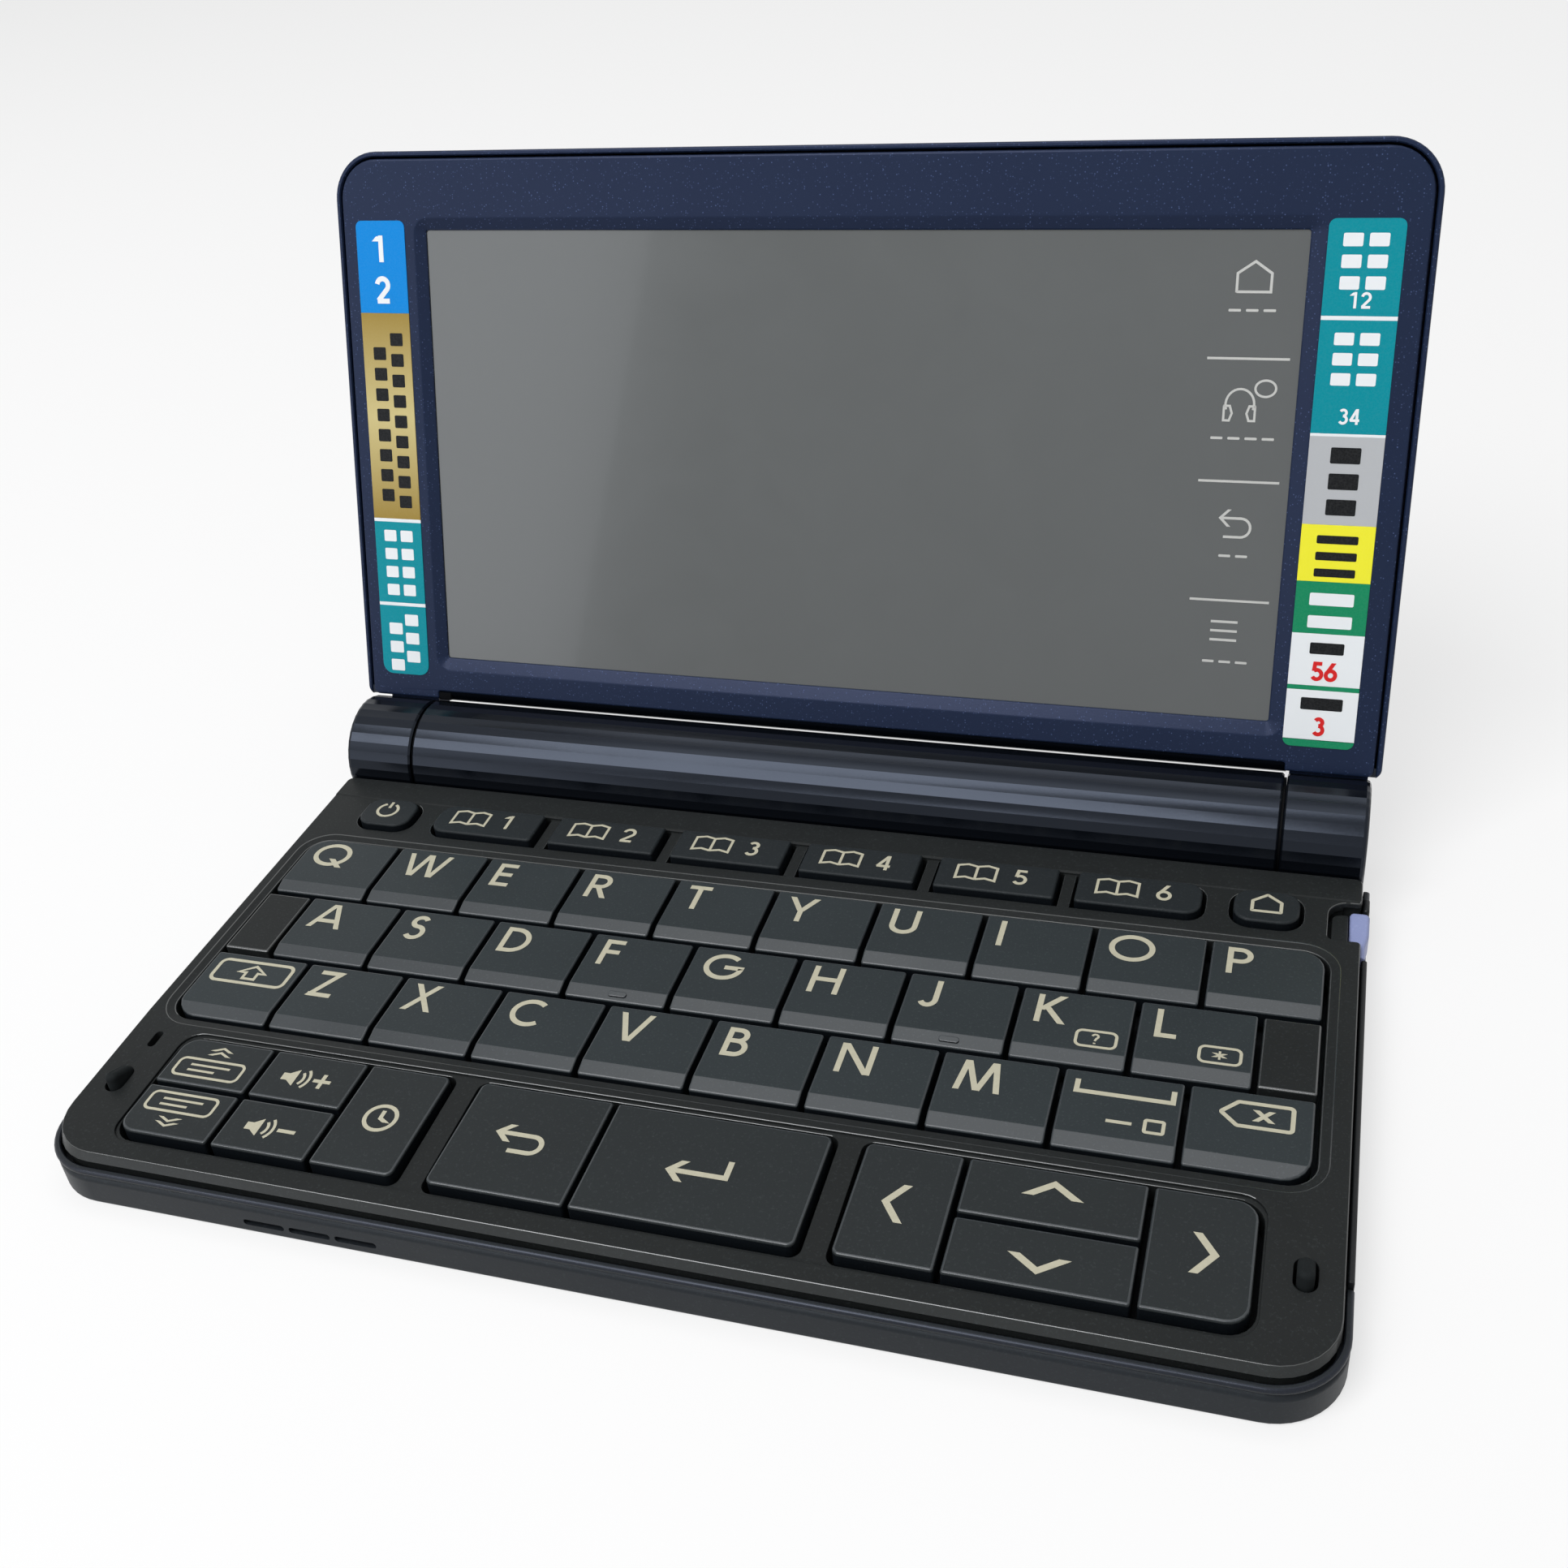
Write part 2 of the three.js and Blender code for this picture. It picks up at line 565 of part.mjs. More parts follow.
function fillerPlates() {
  const y1 = LETTER_ROWS[1].back;
  const y0 = y1 - LETTER_DEPTH;
  const bottom = PANEL_UNDER - 0.2;
  const radii = Array(4).fill(TIGHT_CORNER);
  return FILLERS.flatMap(({ x0, x1, web0, web1 }) => [
    keyShape(x0, x1, y0, y1, FILLER_TOP, radii, bottom),
    solid(block(web0, web1, y0, y1, bottom, FILLER_WEB_TOP)),
  ]);
}

function lidStops() {
  const { x, halfWidth, y0, y1, z0, z1 } = STOP;
  const radii = Array(4).fill(halfWidth - 0.01);
  return [-x, x].map((middle) => solid(
    prism(outline(middle - halfWidth, middle + halfWidth, y0, y1, radii), z0, z1),
  ));
}

function keyboardPanel() {
  const { half, top } = FUNCTION_WEB;
  const { x0, x1, y0, y1 } = MICROPHONE;
  const plate = cut(panelOutside(), ...panelHollow()).add(notchPocket());
  const opened = cut(
    plate,
    ...notchCutters(),
    ...letterCutters(),
    block(-half, half, FUNCTION_FRONT - SLOT_GAP, FUNCTION_BACK + SLOT_GAP, top, ABOVE_BASE),
    controlRecess(),
    ...functionSlots(),
    ...controlSlots(),
    prism(outline(x0, x1, y0, y1, Array(4).fill(0.5)), PANEL_BOTTOM, ABOVE_BASE),
  );
  return [...fillerPlates(), ...lidStops()].reduce((whole, part) => whole.add(part), opened);
}

// A key cap with a small chamfer around its top.
function keyShape(x0, x1, y0, y1, top, radii, bottom = KEY_BOTTOM) {
  return solid(stack([
    { z: bottom, points: outline(x0, x1, y0, y1, radii) },
    { z: top - KEY_EDGE, points: outline(x0, x1, y0, y1, radii) },
    { z: top, points: outline(x0, x1, y0, y1, radii, KEY_EDGE) },
  ]));
}

// The cutter that slopes the front of a letter key.
function facetCutter(x0, x1, y0, top) {
  const bend = y0 + FACET_DEPTH;
  const fall = FACET_DROP / FACET_DEPTH;
  const front = y0 - BEYOND;
  const section = sectionYZ([
    [bend, top],
    [bend, top + BEYOND],
    [front, top + BEYOND],
    [front, top - fall * (bend - front)],
  ]);
  return prismX(section, x0 - BEYOND, x1 + BEYOND);
}

// Only the four corners of the whole letter block are round.
function letterRadii(row, first, last) {
  const at = (outer) => (outer ? LETTER_CORNER : TIGHT_CORNER);
  const front = row === LETTER_ROWS.length - 1;
  const back = row === 0;
  return [at(first && front), at(last && front), at(last && back), at(first && back)];
}

function letterKeys() {
  return LETTER_ROWS.flatMap(({ names, left, back }, row) => names.map((name, i) => {
    const x0 = left + LETTER_PITCH * i;
    const x1 = x0 + LETTER_PITCH - KEY_GAP;
    const y0 = back - LETTER_DEPTH;
    const radii = letterRadii(row, i === 0, i === names.length - 1);
    const cap = keyShape(x0, x1, y0, back, LETTER_TOP, radii);
    return piece(`key_${name}`, cut(cap, facetCutter(x0, x1, y0, LETTER_TOP)), PLASTIC.key);
  }));
}

function functionKey(name, x, width, radii) {
  const half = width / 2;
  const cap = keyShape(x - half, x + half, FUNCTION_FRONT, FUNCTION_BACK, FUNCTION_TOP, radii);
  return piece(`key_${name}`, cap, PLASTIC.key);
}

function functionKeys() {
  const indices = Array.from({ length: FUNCTION_COUNT }, (_, i) => i);
  const endRadii = Array(4).fill(END_KEY_CORNER);
  return [
    ...indices.map((i) => functionKey(
      `function_${i + 1}`,
      functionX(i),
      FUNCTION_WIDTH,
      functionRadii(i, FUNCTION_CORNER, 0.5),
    )),
    functionKey('power', -END_KEY_X, END_KEY_WIDTH, endRadii),
    functionKey('home', END_KEY_X, END_KEY_WIDTH, endRadii),
  ];
}

function controlKeys() {
  return CONTROL_KEYS.map(({ name, x0, x1, half, radii }) => {
    const y0 = half === 'upper' ? CONTROL_SPLIT + KEY_GAP / 2 : CONTROL_FRONT;
    const y1 = half === 'lower' ? CONTROL_SPLIT - KEY_GAP / 2 : CONTROL_BACK;
    return piece(`key_${name}`, keyShape(x0, x1, y0, y1, CONTROL_TOP, radii), PLASTIC.key);
  });
}

// A rubber sheet with a low dome under each key, pressed on to the circuit board.
function keyMat(keys) {
  const domes = keys.map((key) => {
    key.geometry.computeBoundingBox();
    const middle = key.geometry.boundingBox.getCenter(new THREE.Vector3());
    return solid(stack([
      { z: DOME.z0, points: circle(middle.x, middle.y, DOME.foot, DOME.sides) },
      { z: DOME.z1, points: circle(middle.x, middle.y, DOME.top, DOME.sides) },
    ]));
  });
  return domes.reduce((whole, dome) => whole.add(dome), solid(sheetOf(MAT)));
}

// A flat sheet whose two front corners are round.
function sheetOf({ x0, x1, y0, y1, corner, z0, z1 }) {
  return prism(outline(x0, x1, y0, y1, [corner, corner, 1, 1]), z0, z1);
}

// The lid's pieces are drawn in the lid's own frame: X as before, Y up the lid from the hinge axis, Z towards
// the reader. A knuckle is drawn along X about that frame's origin.
function knuckle(side) {
  const flats = (radius) => circle(0, 0, radius, BARREL_FLATS);
  const shape = stack([
    { z: KNUCKLE_START, points: flats(BARREL_RADIUS) },
    { z: KNUCKLE_END - KNUCKLE_CHAMFER, points: flats(BARREL_RADIUS) },
    { z: KNUCKLE_END, points: flats(BARREL_RADIUS - KNUCKLE_CHAMFER) },
  ]).applyMatrix4(ALONG_X);
  const radius = side < 0 ? CLUTCH_BORE : KNUCKLE_BORE;
  const bore = prism(circle(0, 0, radius, SHAFT_SIDES), KNUCKLE_START - BEYOND, SHAFT_OUTER + GAP);
  const body = cut(solid(shape), bore.applyMatrix4(ALONG_X));
  return side < 0 ? body.mirror([1, 0, 0]) : body;
}

// A level rectangle grown by a margin on every side, cut from one height to another.
function windowBlock({ x0, x1, y0, y1 }, margin, z0, z1) {
  return block(x0 - margin, x1 + margin, y0 - margin, y1 + margin, z0, z1);
}

// The sloped frame around the window narrows from the face down to the window's own edge.
function windowBevel() {
  const at = ({ x0, x1, y0, y1 }) => outline(x0, x1, y0, y1, Array(4).fill(0.5));
  return stack([
    { z: BEZEL_FACE - WINDOW_BEVEL_DEPTH, points: at(WINDOW) },
    { z: BEZEL_FACE, points: at(WINDOW_BEVEL) },
  ]);
}

function lidBezel() {
  const back = BEZEL_FACE - BEZEL_DEPTH;
  const radii = [BEZEL_FOOT_CORNER, BEZEL_FOOT_CORNER, BEZEL_CORNER, BEZEL_CORNER];
  const at = (inset) => outline(-BEZEL_HALF, BEZEL_HALF, LID_FOOT, BEZEL_TOP, radii, inset);
  const frame = cut(
    solid(prism(at(0), back, BEZEL_FACE)),
    prism(at(BEZEL_WALL), back - BEYOND, BEZEL_FACE - BEZEL_PLATE),
    windowBlock(WINDOW, GLASS_MARGIN + GAP, back - BEYOND, BEZEL_FACE - LIP),
    windowBlock(WINDOW, 0, back, 0),
    windowBevel(),
  );
  const neck = block(NECK.x0, NECK.x1, NECK.foot, NECK.top, back + GAP, BEZEL_FACE - 0.9);
  const right = knuckle(1).add(solid(neck));
  const left = knuckle(-1).add(solid(neck).mirror([1, 0, 0]));
  return frame.add(right).add(left);
}

function lidCover() {
  const radii = [COVER_FOOT_CORNER, COVER_FOOT_CORNER, COVER_CORNER, COVER_CORNER];
  const half = COVER_OUTER_HALF;
  const outside = stack(COVER_PROFILE.map(([z, inset]) => ({
    z,
    points: outline(-half, half, LID_FOOT, COVER_TOP, radii, inset),
  })));
  const inner = outline(-half, half, LID_FOOT - 5, COVER_TOP, radii, COVER_WALL);
  return cut(solid(outside), prism(inner, COVER_FACE + COVER_PLATE, 0));
}

// The glass and the display module behind it are bonded into one piece.
function touchScreen() {
  const glass = windowBlock(WINDOW, GLASS_MARGIN, BEZEL_FACE - GLASS_BACK, BEZEL_FACE - GLASS_FRONT);
  const display = block(
    WINDOW.x0 - DISPLAY_MARGIN.x,
    WINDOW.x1 + DISPLAY_MARGIN.x,
    WINDOW.y0 - DISPLAY_MARGIN.y,
    WINDOW.y1 + DISPLAY_MARGIN.y,
    BEZEL_FACE - DISPLAY_BACK,
    BEZEL_FACE - GLASS_BACK + 0.1,
  );
  return join(glass, display);
}

// The stylus lies along Y: a coloured cap at the rear, then the body, then a thinner grip and a tip.
function stylus() {
  return stack(STYLUS.map(({ y, x0, x1, z0, z1 }) => ({
    z: y,
    points: outline(z0, z1, x0, x1, Array(4).fill(STYLUS_CORNER)),
  }))).applyMatrix4(ALONG_Y);
}

const lid = new THREE.Group();
lid.position.set(0, HINGE_Y, HINGE_Z);
lid.rotation.x = THREE.MathUtils.degToRad(180 - LID_OPEN_DEG);
lid.add(
  piece('lid_bezel', lidBezel(), PLASTIC.lid),
  piece('lid_cover', lidCover(), PLASTIC.lid),
  piece('touch_screen', touchScreen(), PLASTIC.screen),
);

const keys = [...functionKeys(), ...letterKeys(), ...controlKeys()];
const dictionary = new THREE.Group();
dictionary.add(
  lid,
  piece('bottom_case', bottomCase(), PLASTIC.case),
  piece('keyboard_panel', keyboardPanel(), PLASTIC.panel),
  piece('key_mat', keyMat(keys), PLASTIC.rubber),
  piece('circuit_board', sheetOf(BOARD), PLASTIC.board),
  piece('battery_cover', batteryCover(), PLASTIC.barrel),
  piece('battery_cell_left', batteryCell(-CELL_LENGTH - CELL_NUB - GAP), PLASTIC.cell),
  piece('battery_cell_right', batteryCell(GAP), PLASTIC.cell),
  piece('hinge_clutch', rodX(CLUTCH_RADIUS, SHAFT_SIDES, -SHAFT_OUTER, -SHAFT_INNER), PLASTIC.steel),
  piece('stylus', stylus(), PLASTIC.stylus),
  ...keys,
);

export default dictionary;
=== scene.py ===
import json
import math

import bmesh
import bpy
import numpy as np
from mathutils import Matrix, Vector
from mathutils.geometry import tessellate_polygon


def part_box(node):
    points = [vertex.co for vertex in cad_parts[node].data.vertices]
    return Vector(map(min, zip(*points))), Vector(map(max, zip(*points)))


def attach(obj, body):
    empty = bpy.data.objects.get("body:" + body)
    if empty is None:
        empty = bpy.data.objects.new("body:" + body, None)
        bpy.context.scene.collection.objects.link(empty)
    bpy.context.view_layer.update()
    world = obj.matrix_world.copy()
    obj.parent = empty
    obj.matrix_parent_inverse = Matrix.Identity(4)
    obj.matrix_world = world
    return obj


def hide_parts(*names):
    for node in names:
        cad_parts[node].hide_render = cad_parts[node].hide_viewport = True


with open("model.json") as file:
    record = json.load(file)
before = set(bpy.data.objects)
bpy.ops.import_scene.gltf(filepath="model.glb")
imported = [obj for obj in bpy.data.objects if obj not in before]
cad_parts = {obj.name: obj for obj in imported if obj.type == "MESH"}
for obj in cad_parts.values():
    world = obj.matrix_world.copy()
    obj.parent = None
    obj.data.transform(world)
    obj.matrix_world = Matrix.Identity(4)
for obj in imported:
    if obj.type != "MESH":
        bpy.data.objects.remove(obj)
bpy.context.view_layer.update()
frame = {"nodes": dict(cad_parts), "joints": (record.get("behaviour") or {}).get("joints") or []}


# Camera: it looks down on the open dictionary from the front right, a hand's width above the keys.
# Its place, turn and lens were fitted to the photograph's straight edges and key corners.
def in_scene(name, data):
    """A new object at the origin that shows this data."""
    thing = bpy.data.objects.new(name, data)
    bpy.context.scene.collection.objects.link(thing)
    return thing


lens = bpy.data.cameras.new("camera")
lens.lens, lens.sensor_width, lens.clip_start = 39.66, 36.0, 0.005
camera = in_scene("camera", lens)
camera.location = (0.06433, -0.15338, 0.14620)
camera.rotation_euler = [math.radians(turn) for turn in (55.878, 5.111, 16.736)]
bpy.context.scene.camera = camera
bpy.context.scene.view_settings.view_transform = "Standard"


# Studio: a plain pale floor under a pale room. A wide soft lamp high in front gives the barrel its light
# band, and one overhead and a dim one low at the left fill in.
def linear(hex_colour):
    """An sRGB hex colour as linear red, green, blue and an alpha of 1."""
    srgb = np.array([int(hex_colour[i:i + 2], 16) for i in (1, 3, 5)]) / 255
    light = np.where(srgb <= 0.04045, srgb / 12.92, ((srgb + 0.055) / 1.055) ** 2.4)
    return (*light.tolist(), 1.0)


def add(tree, kind, inputs=None, **settings):
    """Adds a shader node. An input takes a plain value, a hex colour, another node's output, or another
    node, which stands for the first of its outputs in use."""
    node = tree.nodes.new("ShaderNode" + kind)
    for name, value in settings.items():
        setattr(node, name, value)
    for socket, value in (inputs or {}).items():
        if isinstance(value, bpy.types.Node):
            value = next(output for output in value.outputs if output.enabled)
        if isinstance(value, bpy.types.NodeSocket):
            tree.links.new(value, node.inputs[socket])
        else:
            node.inputs[socket].default_value = linear(value) if isinstance(value, str) else value
    return node


def blank_tree(owner):
    """A material's or a world's node tree with nothing in it."""
    owner.use_nodes = True
    owner.node_tree.nodes.clear()
    return owner.node_tree


def seen_directly(tree):
    """1 for a camera, glossy or transmission ray and 0 for the rays that light a surface."""
    ray = add(tree, "LightPath").outputs
    seen = add(tree, "Math", {0: ray["Is Camera Ray"], 1: ray["Is Glossy Ray"]}, operation="ADD")
    return add(tree, "Math", {0: seen, 1: ray["Is Transmission Ray"]}, operation="ADD", use_clamp=True)


ROOM_FILL, FLOOR_HALF, FLOOR_WHITENING = 0.24, 6.0, 0.66
room = bpy.data.worlds.new("pale_room")
bpy.context.scene.world = room
tree = blank_tree(room)
seen = seen_directly(tree)
fill = add(tree, "Background", {"Color": "#f4f6f8", "Strength": ROOM_FILL})
backdrop = add(tree, "Background", {"Color": "#ffffff", "Strength": 1.0})
add(tree, "OutputWorld", {"Surface": add(tree, "MixShader", {0: seen, 1: fill, 2: backdrop})})

floor_mesh = bpy.data.meshes.new("floor")
floor_mesh.from_pydata([(x * FLOOR_HALF, y * FLOOR_HALF, 0) for x, y in ((-1, -1), (1, -1), (1, 1), (-1, 1))],
                       [], [(0, 1, 2, 3)])
paper = bpy.data.materials.new("matt_white_card")
tree = blank_tree(paper)
card = add(tree, "BsdfDiffuse", {"Color": "#f6f5f3"})
white = add(tree, "Emission", {"Color": "#ffffff", "Strength": 1.0})
share = add(tree, "Math", {0: seen_directly(tree), 1: FLOOR_WHITENING}, operation="MULTIPLY")
add(tree, "OutputMaterial", {"Surface": add(tree, "MixShader", {0: share, 1: card, 2: white})})
floor_mesh.materials.append(paper)
floor = in_scene("floor", floor_mesh)

AIM = (0, 0, 0.02)
for name, place, width, depth, brightness, colour in (
        ("front_softbox", (-0.36, -0.65, 1.07), 0.84, 0.85, 6.5, "#fbfcff"),
        ("ceiling_softbox", (0.0, 0.36, 1.42), 1.30, 0.62, 1.6, "#fbfcfd"),
        ("left_softbox", (-0.84, -0.98, 0.36), 0.70, 0.60, 1.35, "#f6f9ff")):
    # The brightness is that of the lamp's face, where 1 is white.
    light = bpy.data.lights.new(name, "AREA")
    light.shape = "RECTANGLE"
    light.size, light.size_y = width, depth
    light.energy = brightness * math.pi * width * depth
    light.color = linear(colour)[:3]
    lamp = in_scene(name, light)
    lamp.location = place
    lamp.rotation_euler = (Vector(AIM) - Vector(place)).to_track_quat("-Z", "Y").to_euler()


# Bottom case: a shallow tray moulded in ABS with a fine etched grain. It has a rounded foot, a bead along
# its rim over a fine step line, and at the back it runs into the barrel. Screws hold it under the panel. The
# bead is smoothed by hands and painted darker than the rest, as painted shade.
MM, LEAST_RADIUS = 0.001, 0.02


def rectangle(x0, x1, y0, y1, radii):
    """Four corners, anticlockwise from the front left, each with its radius."""
    return list(zip((x0, x1, x1, x0), (y0, y0, y1, y1), np.broadcast_to(radii, 4)))


def outline(corners, inset=0.0, steps=6):
    """Rounded corners as points: both sides of each corner move inwards by the inset and meet in an arc,
    so an outline has as many points at every inset."""
    table = np.array(corners, float)
    places, radii = table[:, :2], table[:, 2]
    ahead = np.roll(places, -1, 0) - places
    ahead /= np.linalg.norm(ahead, axis=1)[:, None]
    behind = np.roll(ahead, 1, 0)
    in_ahead = np.stack([-ahead[:, 1], ahead[:, 0]], 1)
    in_behind = np.roll(in_ahead, 1, 0)
    turn = np.sign(behind[:, 0] * ahead[:, 1] - behind[:, 1] * ahead[:, 0])
    bend = np.arccos(np.clip((behind * ahead).sum(1), -1, 1))
    moved = places + inset * (in_behind + in_ahead) / (1 + np.cos(bend))[:, None]
    radius = np.maximum(radii - inset * turn, LEAST_RADIUS)
    start = moved - behind * (radius * np.tan(bend / 2))[:, None]
    to_centre = in_behind * turn[:, None]
    centre = start + to_centre * radius[:, None]
    first = np.arctan2(-to_centre[:, 1], -to_centre[:, 0])
    angle = first[:, None] + (turn * bend)[:, None] * np.linspace(0, 1, steps + 1)
    round_end = np.stack([np.cos(angle), np.sin(angle)], -1) * radius[:, None, None]
    return (centre[:, None] + round_end).reshape(-1, 2)


def level(points, height):
    """A flat outline at one height."""
    return np.column_stack([points, np.full(len(points), float(height))])


def rings(corners, profile, steps=6):
    """The outline at each step of a profile, which is a list of (inset, height)."""
    return np.array([level(outline(corners, inset, steps), height) for inset, height in profile])


def arc(x, y, rx, ry, from_deg, to_deg, count=17):
    """Points on part of an ellipse about (x, y)."""
    angle = np.radians(np.linspace(from_deg, to_deg, count))
    return list(zip(x + rx * np.cos(angle), y + ry * np.sin(angle)))


def quarter(inset, height, radius, from_deg, to_deg, count=5):
    """A round in a profile, about (inset, height)."""
    return arc(inset, height, radius, radius, from_deg, to_deg, count)


def skin(stack, finish=0):
    """Rings of equal counts joined by quads. The first and last ring are filled."""
    stack = np.asarray(stack, float)
    rows, count = stack.shape[:2]
    index = np.arange(rows * count).reshape(rows, count)
    low, high = index[:-1], index[1:]
    sides = np.stack([low, np.roll(low, -1, 1), np.roll(high, -1, 1), high], -1).reshape(-1, 4).tolist()
    return stack.reshape(-1, 3), sides + [index[0][::-1].tolist(), index[-1].tolist()], finish


def block(x0, x1, y0, y1, radii, profile, steps=6, finish=0):
    """A rounded rectangle carried up a profile."""
    return skin(rings(rectangle(x0, x1, y0, y1, radii), profile, steps), finish)


def prism(section, start, end, finish=0):
    """One section carried straight from start to end."""
    return skin([level(section, start), level(section, end)], finish)


def make(name, shells, finishes, place=None):
    """One object of several closed shells, given in millimetres. place turns them into the part's frame."""
    points, faces, kinds, total = [], [], [], 0
    for vertices, polygons, finish in shells:
        points.append(vertices)
        faces += [[i + total for i in polygon] for polygon in polygons]
        kinds += [finish] * len(polygons)
        total += len(vertices)
    points = np.concatenate(points)
    mesh = bpy.data.meshes.new(name)
    mesh.from_pydata(((place(points) if place else points) * MM).tolist(), [], faces)
    for finish in finishes:
        mesh.materials.append(finish)
    mesh.polygons.foreach_set("material_index", kinds)
    return in_scene(name, mesh)


def carve(piece, shells, place=None):
    """Takes closed shells out of a piece, and keeps the result as its mesh."""
    cutters = [make("cutter", [shell], [], place) for shell in shells]
    for cutter in cutters:
        cut = piece.modifiers.new("cut", "BOOLEAN")
        cut.operation, cut.solver, cut.object = "DIFFERENCE", "EXACT", cutter
    carved = bpy.data.meshes.new_from_object(piece.evaluated_get(bpy.context.evaluated_depsgraph_get()))
    piece.modifiers.clear()
    piece.data = carved
    for cutter in cutters:
        bpy.data.objects.remove(cutter)


def fit(piece, body, slot, *nodes, crease=32):
    """Smooth shading that leaves flats flat and edges sharper than the crease, then the piece joins its body."""
    piece.data.shade_smooth()
    piece.data.set_sharp_from_angle(angle=math.radians(crease))
    piece.modifiers.new("flats", "WEIGHTED_NORMAL").keep_sharp = True
    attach(piece, body)
    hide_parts(*nodes)


def values(items, name, width=3):
    """One property of all of a mesh's items, as rows."""
    found = np.empty(len(items) * width)
    items.foreach_get(name, found)
    return found.reshape(-1, width)


def polish(piece, number, least_deg, most_deg, where=lambda x, y, z: True):
    """Gives the rounded edges their own finish: the faces whose normals lean between two angles, and whose
    centres in millimetres pass where(x, y, z)."""
    faces = piece.data.polygons
    lean = np.degrees(np.arccos(np.clip(values(faces, "normal")[:, 2], -1, 1)))
    kinds = values(faces, "material_index", 1)[:, 0].astype(int)
    kinds[(lean > least_deg) & (lean < most_deg) & (kinds == 0) & where(*(values(faces, "center").T / MM))] = number
    faces.foreach_set("material_index", kinds)


def material(name, surface, *details):
    """A new material. surface(tree, place, *details) adds the nodes of its pattern, on Object coordinates,
    and gives the inputs of its shader."""
    made = bpy.data.materials.new(name)
    tree = blank_tree(made)
    shader = surface(tree, add(tree, "TexCoord").outputs["Object"], *details)
    add(tree, "OutputMaterial", {"Surface": add(tree, "BsdfPrincipled", shader)})
    return made


def clouded(tree, place, size_mm, detail, colour):
    """Noise with patches of a size, and a colour that goes from one to another with it."""
    cloud = add(tree, "TexNoise", {"Vector": place, "Scale": 1 / (size_mm * MM), "Detail": detail})
    return cloud, add(tree, "Mix", {0: cloud, 6: colour[0], 7: colour[1]}, data_type="RGBA")


def moulded_plastic(tree, place, colour, fleck, roughness, grain_mm, relief_mm, gloss, tint="#ffffff"):
    """Moulded ABS. An etched tool leaves a fine grain, seen as pale flecks where the light is low; hands
    polish it in soft patches, and the colour clouds a little."""
    cloud, shade = clouded(tree, place, 14, 3.0, colour)
    grain = add(tree, "TexNoise", {"Vector": place, "Scale": 1 / (grain_mm * MM), "Detail": 4.0, "Roughness": 0.62})
    speck = add(tree, "MapRange", {"Value": grain, "From Min": 0.56, "From Max": 0.78})
    paint = add(tree, "Mix", {0: speck, 6: shade, 7: fleck}, data_type="RGBA")
    worn = add(tree, "MapRange", {"Value": cloud, "From Min": 0.3, "From Max": 0.7,
                                  "To Min": roughness - 0.05, "To Max": roughness + 0.05})
    bump = add(tree, "Bump", {"Height": grain, "Distance": relief_mm * MM})
    return {"Base Color": paint, "Roughness": worn, "Normal": bump, "Specular IOR Level": gloss,
            "Specular Tint": tint}


HINGE = np.array(frame["joints"][0]["pos_m"][1:]) / MM
BARREL_RADIUS, BARREL_HALF = HINGE[1], 62.0
FLAT_COUNT, FLAT_START_DEG, FLUTE_STEPS, FLUTE_HOLLOW = 36, 171.8, 5, 0.018


def along_x(points):
    """Outlines drawn in Y and Z, with the third value along X."""
    return points[:, [2, 0, 1]]


def flats(radius, first=0, last=FLAT_COUNT):
    """The barrel's section from one ridge to another. Ridges stand ten degrees apart, and the flute between
    two of them is their chord with a parabola taken off, so it is slightly hollow."""
    flute = 2 * math.pi / FLAT_COUNT
    index = np.arange((last - first) * FLUTE_STEPS + (last - first < FLAT_COUNT))
    across = index % FLUTE_STEPS / FLUTE_STEPS
    angle = math.radians(FLAT_START_DEG) + flute * (first + index / FLUTE_STEPS)
    chord = radius * math.cos(flute / 2) / np.cos(flute * (across - 0.5))
    reach = chord - 4 * across * (1 - across) * FLUTE_HOLLOW
    return HINGE + reach[:, None] * np.stack([np.cos(angle), np.sin(angle)], 1)


def disc(x, y, radius, z0, z1, count=32):
    """An upright round plug."""
    return prism(arc(x, y, radius, radius, 0, 360, count + 1)[:-1], z0, z1)


case_abs = material("case_abs_etched", moulded_plastic, ("#1a1d20", "#1f2226"), "#2c3033", 0.42, 0.34, 0.010,
                    0.20, "#e6eff6")
case_bead_wear_and_shade = material("case_abs_handled_bead_painted_shade", moulded_plastic, ("#14161b", "#181b20"), "#292b32", 0.28, 0.34,
                     0.003, 0.32, "#dde6fa")
CASE_HALF, CASE_FRONT, CASE_REAR, CASE_RIM, BEAD_RADIUS = 73.8, -46.5, 35.4, 5.3, 0.42
case_profile = (
    quarter(0.5, 0.45, 0.45, 270, 180)
    + [(0.05, 3.5), (0.10, 3.76), (0.24, 3.98), (0.46, 4.14), (0.64, 4.28), (0.62, 4.44), (0.40, 4.56), (0.20, 4.61)]
    + quarter(BEAD_RADIUS, CASE_RIM - BEAD_RADIUS, BEAD_RADIUS, 215, 90, 10)
    + [(0.66, CASE_RIM), (0.8, CASE_RIM - 0.1), (0.8, 3.0)]
)
tray = skin(np.concatenate([
    rings(rectangle(-CASE_HALF, CASE_HALF, CASE_FRONT, CASE_REAR, (8, 8, 1, 1)), case_profile, 12),
    rings(rectangle(-71.6, 69.6, -44.2, 29.8, (5.6, 5.6, 0.1, 0.1)), [(0, 3.0), (0, 1.3)], 12)]))
bottom_case = make("bottom_case_tray", [tray], [case_abs, case_bead_wear_and_shade])
SHAFT_GAP, KNUCKLE_ROOM = 0.35, 14
carve(bottom_case, [prism(flats(BARREL_RADIUS + SHAFT_GAP), x, x + KNUCKLE_ROOM)
                    for x in (BARREL_HALF, -BARREL_HALF - KNUCKLE_ROOM)], along_x)
SLOT_PITCH, SLOT_LENGTH, SLOT_LEFT = 5.85, 5.2, -45.4
